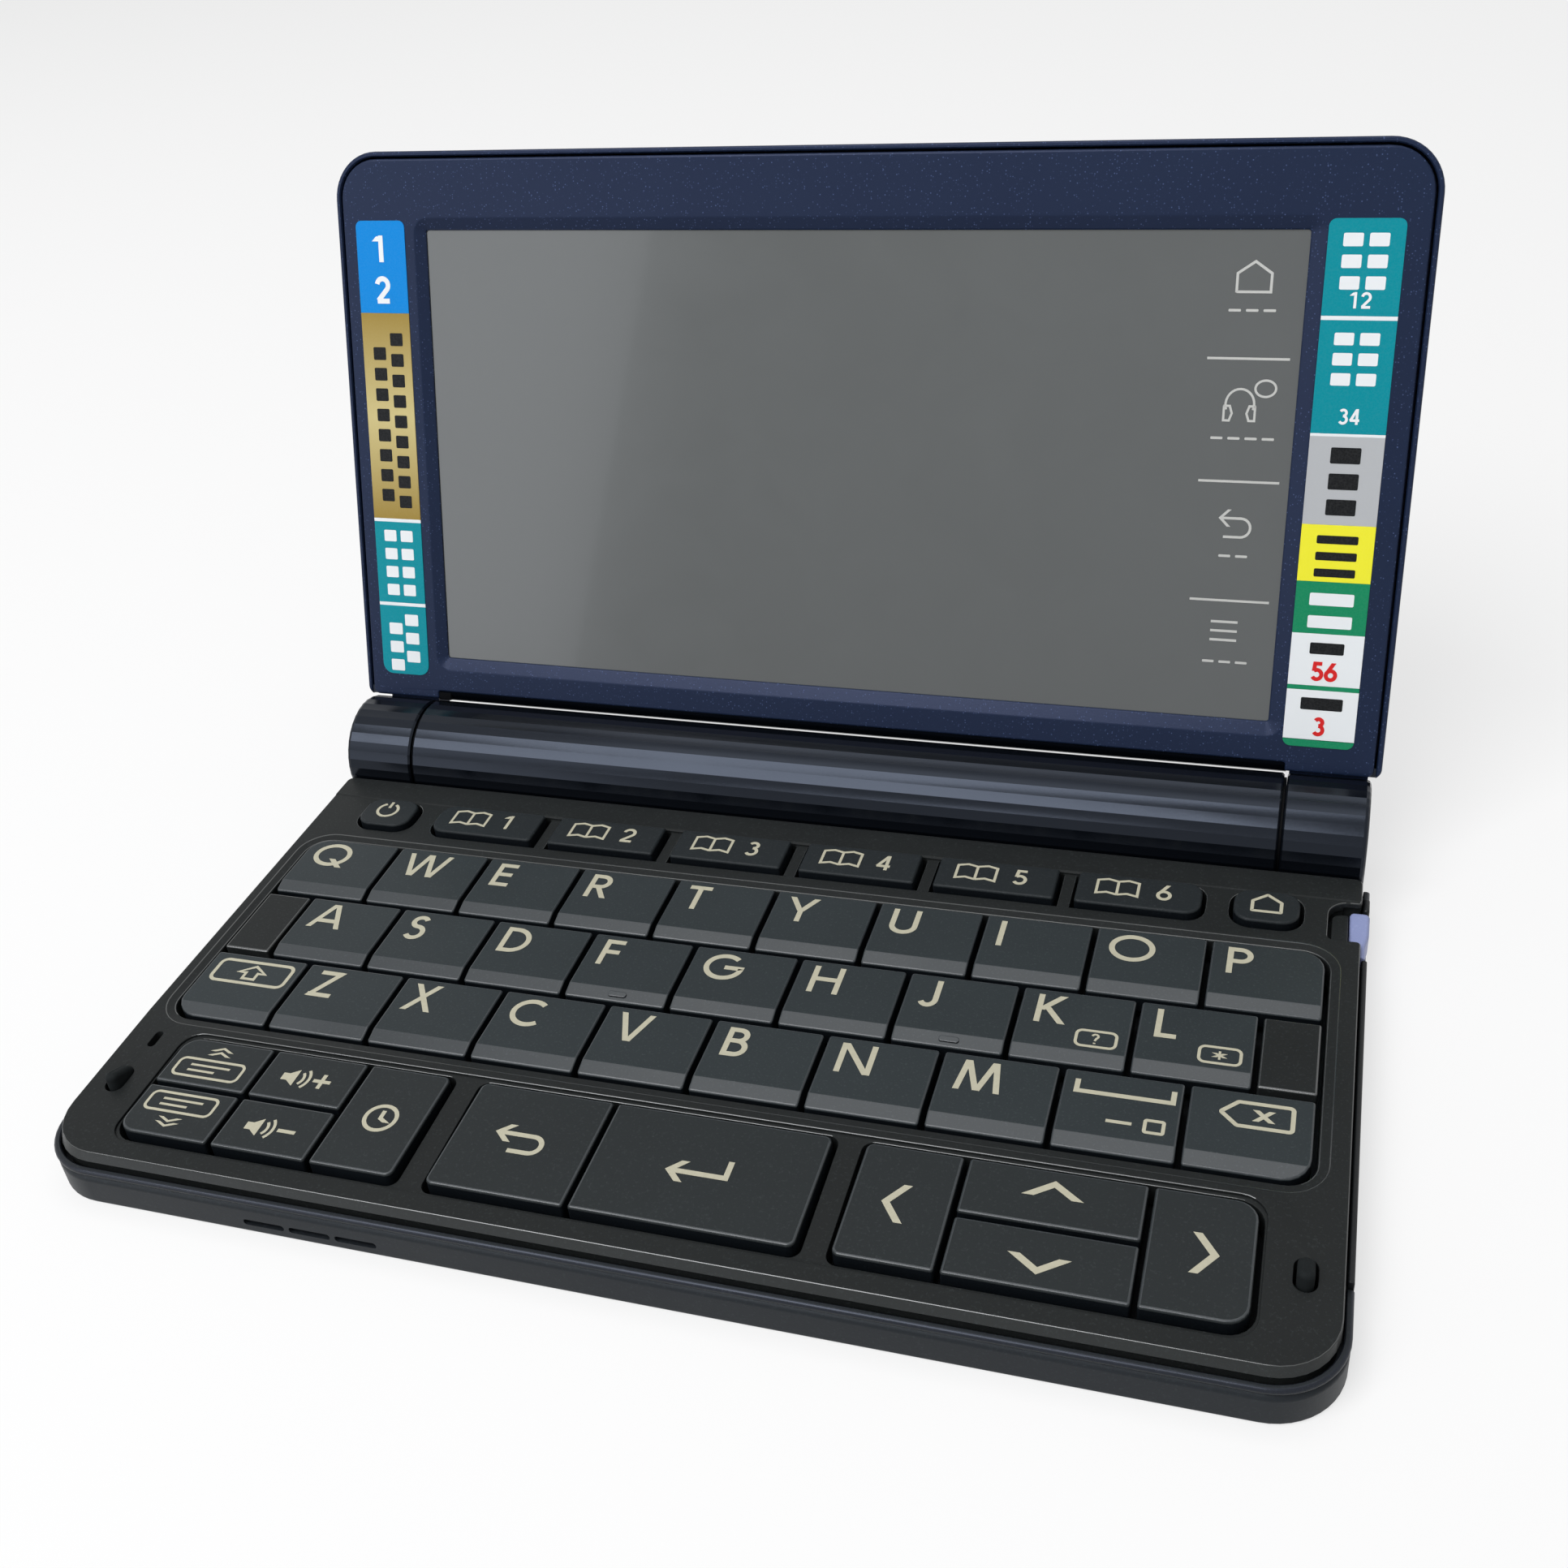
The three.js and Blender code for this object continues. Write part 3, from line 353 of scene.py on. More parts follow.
slots = [block(x, x + SLOT_LENGTH, 1.25, 2.1, 0.36, [(0, 43.9), (0, 48)], 4)
         for x in (SLOT_LEFT + SLOT_PITCH * i for i in range(3))]
carve(bottom_case, slots, lambda points: points[:, [0, 2, 1]] * (1, -1, 1))
# Behind the speaker's slots the wall is thinned from the inside, so they look black.
carve(bottom_case, [block(SLOT_LEFT - 1, SLOT_LEFT + 3 * SLOT_PITCH + 1, -45.8, -43.9, 0.3, [(0, 0.6), (0, 2.95)])])
GROOVE_X, GROOVE_FRONT, GROOVE_REAR, GROOVE_FLOOR, OUTSIDE = 70.4, -32.95, 26.1, 2.6, 80
FOOT_PLACES = [(x, y) for x in (-62, 62) for y in (-36, 22)]
SCREW_PLACES = [(x, y) for x in (-48, 48) for y in (-38, 27)]
POCKET_RADIUS, SCREW_HOLE_RADIUS = 3.6, 1.9
carve(bottom_case, [
    block(GROOVE_X, OUTSIDE, GROOVE_FRONT, GROOVE_REAR, 0.3, [(0, GROOVE_FLOOR), (0, 9)]),
    *[disc(x, y, POCKET_RADIUS, -1, 0.7) for x, y in FOOT_PLACES],
    *[disc(x, y, SCREW_HOLE_RADIUS, -1, 0.9) for x, y in SCREW_PLACES]])
# The bead's upper faces take the smoother copy, painted darker: wear and painted shade.
polish(bottom_case, 1, 8, 86, lambda x, y, z: (z > CASE_RIM - BEAD_RADIUS) & (z < CASE_RIM + 1))
fit(bottom_case, "base", "case_plastic", "bottom_case")


# Feet and case screws, on the underside: soft rubber pads glued flush in round pockets, and four
# cross-head steel screws, sunk in their holes. Neither shows from above.
def soft_rubber(tree, place, colour):
    """Moulded silicone rubber: matt and slightly dusty, with a faint mottle."""
    dust, shade = clouded(tree, place, 0.8, 5.0, colour)
    bump = add(tree, "Bump", {"Height": dust, "Distance": 0.02 * MM})
    return {"Base Color": shade, "Roughness": 0.82, "Specular IOR Level": 0.15, "Normal": bump}


def turned_steel(tree, place, colour, roughness, streak_mm):
    """Plated steel, turned on a lathe: fine streaks across the light."""
    streak = add(tree, "TexNoise", {"Vector": place, "Scale": 1 / (streak_mm * MM), "Detail": 2.0})
    spread = add(tree, "MapRange", {"Value": streak, "To Min": roughness - 0.08, "To Max": roughness + 0.08})
    return {"Base Color": colour, "Metallic": 1.0, "Roughness": spread}


foot_rubber = material("foot_rubber", soft_rubber, ("#17181a", "#222326"))
screw_steel = material("screw_steel_black_plated", turned_steel, "#4a4c50", 0.38, 0.2)
PAD_RADIUS, HEAD_RADIUS = 3.45, 1.6
for number, (x, y) in enumerate(FOOT_PLACES, 1):
    fit(make(f"foot_{number}", [disc(x, y, PAD_RADIUS, 0.02, 0.68)], [foot_rubber]), "base", "mat_rubber")
for number, (x, y) in enumerate(SCREW_PLACES, 1):
    head = make(f"case_screw_{number}", [disc(x, y, HEAD_RADIUS, 0.35, 0.88)], [screw_steel])
    carve(head, [block(x - a, x + a, y - b, y + b, 0.05, [(0, 0), (0, 0.7)], 1)
                 for a, b in ((1.1, 0.17), (0.17, 1.1))])
    fit(head, "base", "clutch_steel")


# Barrel: the rear of the bottom case, a round housing for two cells with long flats along it, painted
# satin navy. Its rear half is the battery cover, a wedge ties it to the tray, and washers of bare plastic
# stand between its ends and the lid's knuckles.
def satin_paint(tree, place, colour, sheen, roughness):
    """Satin lacquer with a blue pearl pigment: nearly black in shade, and blue-grey where it mirrors a lamp."""
    cloud = add(tree, "TexNoise", {"Vector": place, "Scale": 1 / (9 * MM), "Detail": 3.0})
    grain, shade = clouded(tree, place, 0.3, 3.0, colour)
    mixed = add(tree, "Math", {0: cloud, 1: grain}, operation="ADD")
    spread = add(tree, "MapRange", {"Value": mixed, "From Min": 0.7, "From Max": 1.3,
                                    "To Min": roughness - 0.03, "To Max": roughness + 0.03})
    bump = add(tree, "Bump", {"Height": grain, "Distance": 0.003 * MM})
    return {"Base Color": shade, "Roughness": spread, "Specular IOR Level": 0.33, "Specular Tint": sheen,
            "Normal": bump}


def about_hinge(radius, from_deg, to_deg, count):
    """Points on an arc about the hinge axis."""
    return np.array(arc(*HINGE, radius, radius, from_deg, to_deg, count))


barrel_paint = material("barrel_satin_navy", satin_paint, ("#04060a", "#080b10"), "#d3e1fb", 0.18)
# Each ring is the flats with a square foot under their front.
EDGE = 0.25
barrel = make("bottom_case_barrel", [skin([
    level(np.vstack([flats(radius, 10, 41), [(34.1, 1.96), (34.1, 0.1), (34.2, 0)]]), x)
    for x, radius in ((-BARREL_HALF, BARREL_RADIUS - EDGE), (-BARREL_HALF + EDGE, BARREL_RADIUS),
                      (BARREL_HALF - EDGE, BARREL_RADIUS), (BARREL_HALF, BARREL_RADIUS - EDGE))
])], [barrel_paint], along_x)
BAY_RADIUS, BAY_HALF, CLUTCH_BORE, CABLE_BORE = 7.2, 52.2, 3.5, 2.0
COVER_HALF, COVER_FROM_DEG, COVER_TO_DEG, COVER_GAP_DEG = 51.0, -92.8, 33.8, 2.3
wedge = about_hinge(2 * BARREL_RADIUS, COVER_FROM_DEG - COVER_GAP_DEG, COVER_TO_DEG + COVER_GAP_DEG, 12)
carve(barrel, [
    disc(*HINGE, BAY_RADIUS, -BAY_HALF, BAY_HALF, 48),
    prism(np.vstack([HINGE, wedge]), -COVER_HALF - 0.3, COVER_HALF + 0.3),
    disc(*HINGE, CLUTCH_BORE, -BARREL_HALF - 1, -54.2), disc(*HINGE, CABLE_BORE, 54.5, BARREL_HALF + 1)], along_x)
fit(barrel, "base", "barrel_plastic", crease=10)
WASHER_RADIUS, WASHER_THICK = 7.25, 0.33
bare_abs = material("hinge_abs_bare", moulded_plastic, ("#07080a", "#0a0b0d"), "#121316", 0.5, 0.3, 0.006, 0.04)
for side, name in ((-1, "hinge_washer_left"), (1, "hinge_washer_right")):
    x0, x1 = sorted((side * (BARREL_HALF - 0.2), side * (BARREL_HALF + WASHER_THICK)))
    washer = make(name, [disc(*HINGE, WASHER_RADIUS, x0, x1, 48)], [bare_abs], along_x)
    carve(washer, [disc(*HINGE, CLUTCH_BORE, x0 - 1, x1 + 1)], along_x)
    fit(washer, "base", "case_plastic")


# Battery cover: the barrel's rear shell, a moulding of the same satin navy. It slides back off the cells,
# and a row of fine ribs on it gives the thumb a hold.
def cover_section(edge):
    """A C of the barrel's flats: out along the flats and back along the bay's own radius."""
    first = math.ceil((COVER_FROM_DEG - FLAT_START_DEG + 360) / 10)
    last = math.floor((COVER_TO_DEG - FLAT_START_DEG + 360) / 10)
    tips = about_hinge(BARREL_RADIUS - edge - 0.02, COVER_FROM_DEG, COVER_TO_DEG, 2)
    return np.vstack([tips[:1], flats(BARREL_RADIUS - edge, first, last), tips[1:],
                      about_hinge(BAY_RADIUS, COVER_TO_DEG, COVER_FROM_DEG, 24)])


COVER_EDGE, RIB_COUNT, RIB_PITCH, RIB_HALF = 0.2, 9, 1.3, 0.3
rib = np.vstack([about_hinge(BARREL_RADIUS - 0.02, 8, 30, 10), about_hinge(BARREL_RADIUS - 0.3, 30, 8, 10)])
cover_shells = [skin([level(cover_section(edge), side * (COVER_HALF - edge_gap)) for side, edge_gap, edge in (
    (-1, 0, COVER_EDGE), (-1, COVER_EDGE, 0), (1, COVER_EDGE, 0), (1, 0, COVER_EDGE))])]
for i in range(RIB_COUNT):
    x = (i - (RIB_COUNT - 1) / 2) * RIB_PITCH
    cover_shells.append(prism(rib, x - RIB_HALF, x + RIB_HALF))
cover = make("battery_cover_shell", cover_shells, [barrel_paint], along_x)
fit(cover, "battery_cover", "barrel_plastic", "battery_cover", crease=10)


# Inside the base: two cells in plain printed sleeves, the hinge's friction clutch, the circuit board and
# the rubber key mat. The CAD solids have these shapes already, so they only take their finishes here.
def printed_sleeve(tree, place):
    """A cell's shrink sleeve: satin film over the can, plain silver with a dark band near the nub."""
    x = add(tree, "SeparateXYZ", {0: place}).outputs["X"]
    turn = add(tree, "Math", {0: x, 1: 50.7 * MM}, operation="PINGPONG")
    band = add(tree, "MapRange", {"Value": turn, "From Min": 14 * MM, "From Max": 14.3 * MM})
    film = add(tree, "TexNoise", {"Vector": place, "Scale": 1 / (3 * MM)})
    shade = add(tree, "Mix", {0: band, 6: "#b9b39a", 7: "#2c3a4d"}, data_type="RGBA")
    gloss = add(tree, "MapRange", {"Value": film, "To Min": 0.25, "To Max": 0.4})
    return {"Base Color": shade, "Metallic": 0.45, "Roughness": gloss}


def board_laminate(tree, place):
    """Green solder mask over glass fibre: the weave shows faintly, and copper traces show as lighter lines."""
    trace = add(tree, "TexBrick", {"Vector": place, "Scale": 1 / (6 * MM), "Mortar Size": 0.03,
                                   "Color1": "#184a33", "Color2": "#153f2c", "Mortar": "#2f7350"})
    weave = add(tree, "TexChecker", {"Vector": place, "Scale": 1 / (0.4 * MM)})
    bump = add(tree, "Bump", {"Height": weave.outputs["Fac"], "Distance": 0.01 * MM})
    return {"Base Color": trace, "Roughness": 0.35, "Normal": bump}


for nodes, finish in (
        (("battery_cell_left", "battery_cell_right"), material("cell_sleeve_film", printed_sleeve)),
        (("hinge_clutch",), material("clutch_steel_bright", turned_steel, "#a9adb0", 0.3, 0.15)),
        (("circuit_board",), material("board_glass_laminate", board_laminate)),
        (("key_mat",), material("key_mat_silicone", soft_rubber, ("#0f1112", "#15171a")))):
    for node in nodes:
        for socket in frame["nodes"][node].material_slots:
            socket.material = finish


# Keyboard panel: the charcoal plate around the keys, moulded in ABS with a fine etched grain. Its front
# third slopes down, its rear edge steps up, and each group of keys stands in an opening of its own.
def plate(outer, holes=(), finish=0):
    """A slab with openings. Outer and holes are stacks of rings from the top face down; each stack's rings
    are joined, and the top and the bottom between them are filled with triangles."""
    points, faces, top, bottom = np.empty((0, 3)), [], [], []
    for stack in (outer[::-1], *holes):
        vertices, sides, _ = skin(stack)
        index = len(points) + np.arange(len(vertices)).reshape(len(stack), -1)
        faces += [[i + len(points) for i in side] for side in sides[:-2]]
        top.append(index[0 if top else -1])
        bottom.append(index[-1 if bottom else 0])
        points = np.concatenate([points, vertices])
    for loops, facing in ((top, 1), (bottom, -1)):
        order = np.concatenate(loops)
        for triangle in tessellate_polygon([[Vector(point) for point in points[loop]] for loop in loops]):
            corners = [int(order[i]) for i in triangle]
            (ax, ay), (bx, by), (cx, cy) = points[corners, :2]
            area = (bx - ax) * (cy - ay) - (by - ay) * (cx - ax)
            faces.append(corners if area * facing > 0 else corners[::-1])
    return points, faces, finish


def fold(piece, lines, lift):
    """Splits the mesh along lines of constant Y, in millimetres, then raises each point by lift(y, z)."""
    shape = bmesh.new()
    shape.from_mesh(piece.data)
    for y in lines:
        everything = [*shape.verts, *shape.edges, *shape.faces]
        bmesh.ops.bisect_plane(shape, geom=everything, plane_co=(0, y * MM, 0), plane_no=(0, 1, 0), dist=1e-7)
    shape.to_mesh(piece.data)
    shape.free()
    points = values(piece.data.vertices, "co") / MM
    points[:, 2] += lift(points[:, 1], points[:, 2])
    piece.data.vertices.foreach_set("co", (points * MM).ravel())
    piece.data.update()


def cad_box(*nodes):
    """The lowest and highest corner, in millimetres, of several CAD nodes together."""
    corners = np.array([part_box(node) for node in nodes]) / MM
    return corners[:, 0].min(0), corners[:, 1].max(0)


def around(names, gap, radii, narrower=0):
    """Corners of an opening around some keys."""
    low, high = cad_box(*[f"key_{name}" for name in names])
    return rectangle(low[0] - gap, high[0] + gap, low[1] - gap + narrower, high[1] + gap - narrower, radii)


def hole(corners, edge=0.12, top=7.4, bottom=4.0):
    """An opening's rings from the top down, with a rounded edge. It goes through the panel's top plate,
    unless it is given another top and bottom."""
    return rings(corners, [(inset - edge, z) for inset, z in quarter(0, top - edge, edge, 90, 0, 4)] + [(0, bottom)])


letter_names = [*"qwertyuiopasdfghjkl", "shift", *"zxcvbnm", "space", "delete"]
function_names = [f"function_{number}" for number in range(1, 7)]
control_names = ["page_up", "page_down", "volume_up", "volume_down", "history", "back", "enter",
                 "left", "up", "down", "right"]
panel_abs = material("panel_abs_etched", moulded_plastic, ("#1f2121", "#242626"), "#343838", 0.42, 0.32, 0.010, 0.09)
panel_edge_wear_and_highlight = material("panel_abs_handled_edge_painted_highlight", moulded_plastic, ("#212424", "#272a2a"), "#363b3d", 0.20, 0.32,
                          0.003, 1.0)
panel_front_abs = material("panel_abs_front_slant", moulded_plastic, ("#1c1f1f", "#212424"), "#313637", 0.36, 0.32,
                           0.006, 0.30)
PANEL_TOP, PANEL_BASE, PANEL_LEFT, PANEL_RIGHT, PANEL_EDGE = 7.4, 4.0, -72.6, 72.8, 0.2
SLOPE_START, SLOPE_END, SLOPE_FALL = -21.8, -44.7, 0.6
STEP_Y, STEP_LENGTH, STEP_RISE = 26.4, 0.25, 0.1
NOTCH_LEFT, NOTCH_FRONT, NOTCH_REAR = 68.9, 18.7, 26.1
panel_rear = cad_box("keyboard_panel")[1][1]


def panel_outline(lean):
    """The plate's corners, with its front edge moved forward, and the stylus notch at its right."""
    front = SLOPE_END - lean
    return [
        (PANEL_LEFT, front, 6.8), (PANEL_RIGHT, front, 6.8), (PANEL_RIGHT, NOTCH_FRONT, 0.5),
        (NOTCH_LEFT, NOTCH_FRONT, 0.8), (NOTCH_LEFT, NOTCH_REAR, 2.5), (PANEL_RIGHT, NOTCH_REAR, 0.5),
        (PANEL_RIGHT, panel_rear, 1.0), (PANEL_LEFT, panel_rear, 1.0),
    ]


# Down from the top: a small round, a slanted front face, and a skirt set back under it.
panel_edge = [(inset, z, 0.15) for inset, z in quarter(PANEL_EDGE, PANEL_TOP - PANEL_EDGE, PANEL_EDGE, 90, 180)]
panel_edge += [(0, 6.3, 0.65), (0.06, 6.15, 0.66), (0.25, 5.95, 0.6), (0.25, 3.4, 0.6), (0.8, 3.4, 0.6),
               (0.8, PANEL_BASE, 0.6)]
panel_rings = [level(outline(panel_outline(lean), inset, 8), z) for inset, z, lean in panel_edge]
LETTER_GAP, BAND_WIDTH, BAND_TOP = 0.6, 1.15, 7.15
letter_rim = [(-BAND_WIDTH - 0.12, PANEL_TOP), (-BAND_WIDTH, PANEL_TOP - 0.06), (-0.2, BAND_TOP),
              (-0.08, BAND_TOP - 0.03), (0, BAND_TOP - 0.15), (0, PANEL_BASE)]
letters_low, letters_high = cad_box("key_q", "key_p", "key_shift", "key_delete")
KEY_GAP = 0.5
function_corners = around(function_names, KEY_GAP, 2.4)
RECESS_FRONT, RECESS_REAR, RECESS_DEPTH = -42.4, -24.5, 0.3
recess_corners = rectangle(-64.9, 65.0, RECESS_FRONT, RECESS_REAR, (2.6, 2.8, 2.8, 2.6))
STOP_X, STOP_Y, STOP_HALF = 69.05, -33.3, (0.86, 1.95)
stop_corners = [rectangle(x - 1.2, x + 1.2, STOP_Y - 2.35, STOP_Y + 1.85, 1.19) for x in (-STOP_X, STOP_X)]
microphone_corners = rectangle(-69.1, -68.1, -27.85, -25.15, 0.49)
end_key_corners = [around([name], KEY_GAP, 2.7) for name in ("power", "home")]
panel_holes = [rings(around(["q", "p", "shift", "delete"], LETTER_GAP, 3.4), letter_rim, 8)]
panel_holes += [hole(corners) for corners in (function_corners, recess_corners, *end_key_corners)]
panel_holes += [hole(corners, 0.08) for corners in (microphone_corners, *stop_corners)]

# The webs between the six function keys are a lower slab, and the control keys' recess has its own floor.
WEB_TOP, WEB_BASE, INNER, OUTER, CONTROL_GAP = 7.1, PANEL_BASE + 0.2, 0.3, 2.3, 0.6
slot_radii = [(OUTER, INNER, INNER, OUTER), *[INNER] * 4, (INNER, OUTER, OUTER, INNER)]
web_slab = plate(rings(function_corners, [(-0.4, WEB_TOP), (-0.4, WEB_BASE)]), [
    hole(around([name], KEY_GAP, radii, 0.02), 0.12, WEB_TOP, WEB_BASE)
    for name, radii in zip(function_names, slot_radii)])
RECESS_TOP = PANEL_TOP - RECESS_DEPTH
recess_floor = plate(rings(recess_corners, [(-0.4, RECESS_TOP), (-0.4, WEB_BASE)]), [
    hole(around(names, CONTROL_GAP, radii), 0.1, RECESS_TOP, WEB_BASE)
    for names, radii in ((("page_up", "history"), (2.8, 1.3, 1.3, 2.8)), (("back", "enter"), 1.3),
                         (("left", "right"), (1.3, 3.0, 3.0, 1.3)))])

# Two blank plates close the ends of the middle letter row.
row_low, row_high = cad_box("key_a")
FILLER_ROUND, FILLER_TOP = 0.28, 7.62
filler_profile = [(0, PANEL_BASE)] + quarter(FILLER_ROUND, FILLER_TOP - FILLER_ROUND, FILLER_ROUND, 180, 90, 4)
fillers = [block(x0, x1, row_low[1], row_high[1], 0.3, filler_profile, 4)
           for x0, x1 in ((letters_low[0] - 0.1, row_low[0] - 0.65), (62.6, letters_high[0] + 0.1))]
panel = make("keyboard_panel_moulding", [plate(panel_rings, panel_holes), web_slab, recess_floor, *fillers],
             [panel_abs, panel_edge_wear_and_highlight, panel_front_abs])


def panel_lift(y, z):
    """The front falls in a straight slope and the rear rises in a small step; the lower walls stay level."""
    share = np.clip((z - PANEL_BASE - 0.5) / 2, 0, 1)
    slope = -SLOPE_FALL * np.clip((SLOPE_START - y) / (SLOPE_START - SLOPE_END), 0, 1)
    rise = np.clip((y - STEP_Y) / STEP_LENGTH, 0, 1)
    return share * (slope + STEP_RISE * rise * rise * (3 - 2 * rise))


def handled(x, y, z):
    """The edges that hands rub, not the rear step and not those between the control keys; the rounded ones also get a
    painted highlight.
    """
    among_controls = (y > RECESS_FRONT - 0.8) & (y < RECESS_REAR - 0.5) & (abs(x) < 71)
    return ~among_controls & ((y < STEP_Y - 0.3) | (x > PANEL_RIGHT - 1))


fold(panel, [SLOPE_START, *(STEP_Y + STEP_LENGTH * share for share in (0, 0.25, 0.5, 0.75, 1))], panel_lift)
carve(panel, [block(GROOVE_X + 0.2, OUTSIDE, GROOVE_FRONT, GROOVE_REAR + 0.4, 0.1, [(0, 3.0), (0, 6.7)])])
# The rounded edges take a smoother copy painted a little lighter: wear and painted highlight.
polish(panel, 1, 13, 54, handled)
polish(panel, 2, 54, 80, handled)
fit(panel, "base", "panel_plastic", "keyboard_panel")

# The notch has a ramp for the fingernail, flush at the front and lower at the back, over a deeper floor.
RAMP_START, RAMP_FALL, RAMP_RIGHT = NOTCH_FRONT + 0.6, 0.16, 71.3
vertices, faces, _ = block(NOTCH_LEFT + 0.45, RAMP_RIGHT, NOTCH_FRONT - 0.5, NOTCH_REAR - 1.2, (0.1, 0.1, 0.3, 1.3),
                           [(0, 3.8)] + quarter(0.15, 7.1, 0.15, 180, 90, 4), 8)
vertices[:, 2] -= RAMP_FALL * np.clip(vertices[:, 1] - RAMP_START, 0, None) * (vertices[:, 2] > 5)
notch_floor = block(NOTCH_LEFT - 0.5, RAMP_RIGHT, NOTCH_FRONT - 0.5, NOTCH_REAR + 0.5, 0.1, [(0, 3.7), (0, 4.9)], 1)
fit(make("stylus_notch_ramp", [(vertices, faces, 0), notch_floor], [panel_abs]), "base", "panel_plastic")

# Lid stops: two rubber tabs with domed heads, pushed up through slots beside the control keys. The
# closed lid rests on them.
stop_rubber = material("stop_rubber", soft_rubber, ("#131617", "#1c2021"))
STOP_REAR_FALL = 1.2
for x, name in ((-STOP_X, "lid_stop_left"), (STOP_X, "lid_stop_right")):
    vertices, faces, _ = block(x - STOP_HALF[0], x + STOP_HALF[0], STOP_Y - STOP_HALF[1], STOP_Y + STOP_HALF[1],
                               0.85, [(0, 4.5)] + quarter(0.7, 8.15, 0.7, 180, 95, 6), 8)
    rear = np.clip((vertices[:, 1] - STOP_Y) / STOP_HALF[1] + 0.2, 0, None)
    vertices[:, 2] -= STOP_REAR_FALL * rear * (vertices[:, 2] > 5)
    fit(make(name, [(vertices, faces, 0)], [stop_rubber]), "base", "mat_rubber", crease=50)


# Keys: hollow ABS caps, each on its own rubber dome. Letter keys have a flat top with a sloped front facet,
# and the others a plain rounded top. Hands polish the letter and control keys' edges. The walls are painted
# dark, as painted shade, the control keys' tops are painted a little darker than the letter keys', as painted
# shade too, and the legends are pad-printed in cream ink.
INK, INK_STEP = 0.03, 0.004
STRAIGHT_POINTS, STEEP, MITRE_LIMIT = 6, 0.4, 0.3


def ribbon(path, width, floor, top, finish):
    """A flat bar of one width along a path, which is closed if it ends where it starts. Its joints are
    mitred, and a steep end of a straight stroke is cut level, as a letter's foot is."""
    closed = np.allclose(path[0], path[-1])
    step = np.diff(path, axis=0)
    step /= np.linalg.norm(step, axis=1)[:, None]
    side = np.stack([-step[:, 1], step[:, 0]], 1)
    before = np.roll(side, 1, 0) if closed else np.vstack([side[:1], side])
    after = side if closed else np.vstack([side, side[-1:]])
    offset = (before + after) / np.maximum(1 + (before * after).sum(1), MITRE_LIMIT)[:, None]
    if closed:
        path = path[:-1]
    elif len(path) < STRAIGHT_POINTS:
        for end, drop in ((0, step[0, 1]), (-1, step[-1, 1])):
            if abs(drop) > STEEP:
                offset[end] = (-1 / drop, 0)
    left, right = path + offset * width / 2, path - offset * width / 2
    stack = np.stack([level(right, floor), level(left, floor), level(left, top), level(right, top)], 1)
    vertices, faces, _ = skin(stack)
    if closed:
        last = [(len(path) - 1) * 4 + k for k in range(4)]
        faces = faces[:-2] + [[last[k], last[(k + 1) % 4], (k + 1) % 4, k] for k in range(4)]
    return vertices, faces, finish


def ink(groups, x, y, plane, finish=1):
    """Raised ink on a plane, about (x, y). A group is a width and its strokes, and a width of 0 fills them.
    Each stroke is a little higher than the last, so crossings don't share a face."""
    shells = []
    for width, paths in groups:
        for number, path in enumerate(paths):
            path, top = np.asarray(path, float) + (x, y), plane + INK + INK_STEP * number
            shells.append(ribbon(path, width, plane - INK, top, finish) if width else
                          skin([level(path[:-1], plane - INK), level(path[:-1], top)], finish))
    return shells


def ring(x, y, rx, ry):
    """A whole ellipse as a closed stroke."""
    return arc(x, y, rx, ry, 0, 360, 41)


def loop(corners, steps=5):
    """Rounded corners as a closed stroke."""
    points = outline(corners, 0, steps)
    return np.vstack([points, points[:1]])


# Letters and numbers are strokes on a cap height of 1.
HAIR = 0.074
TOP = 1 - HAIR
STEM = [(HAIR, 0), (HAIR, 1)]


def bar(x, y, x0=HAIR):
    """A level stroke, from the stem unless it starts elsewhere."""
    return [(x0, y), (x, y)]


def bowl(x, y, rx, ry, count=17):
    """The round part of a D, out from the stem and back to it."""
    return [(HAIR, y + ry)] + arc(x, y, rx, ry, 90, -90, count) + [(HAIR, y - ry)]


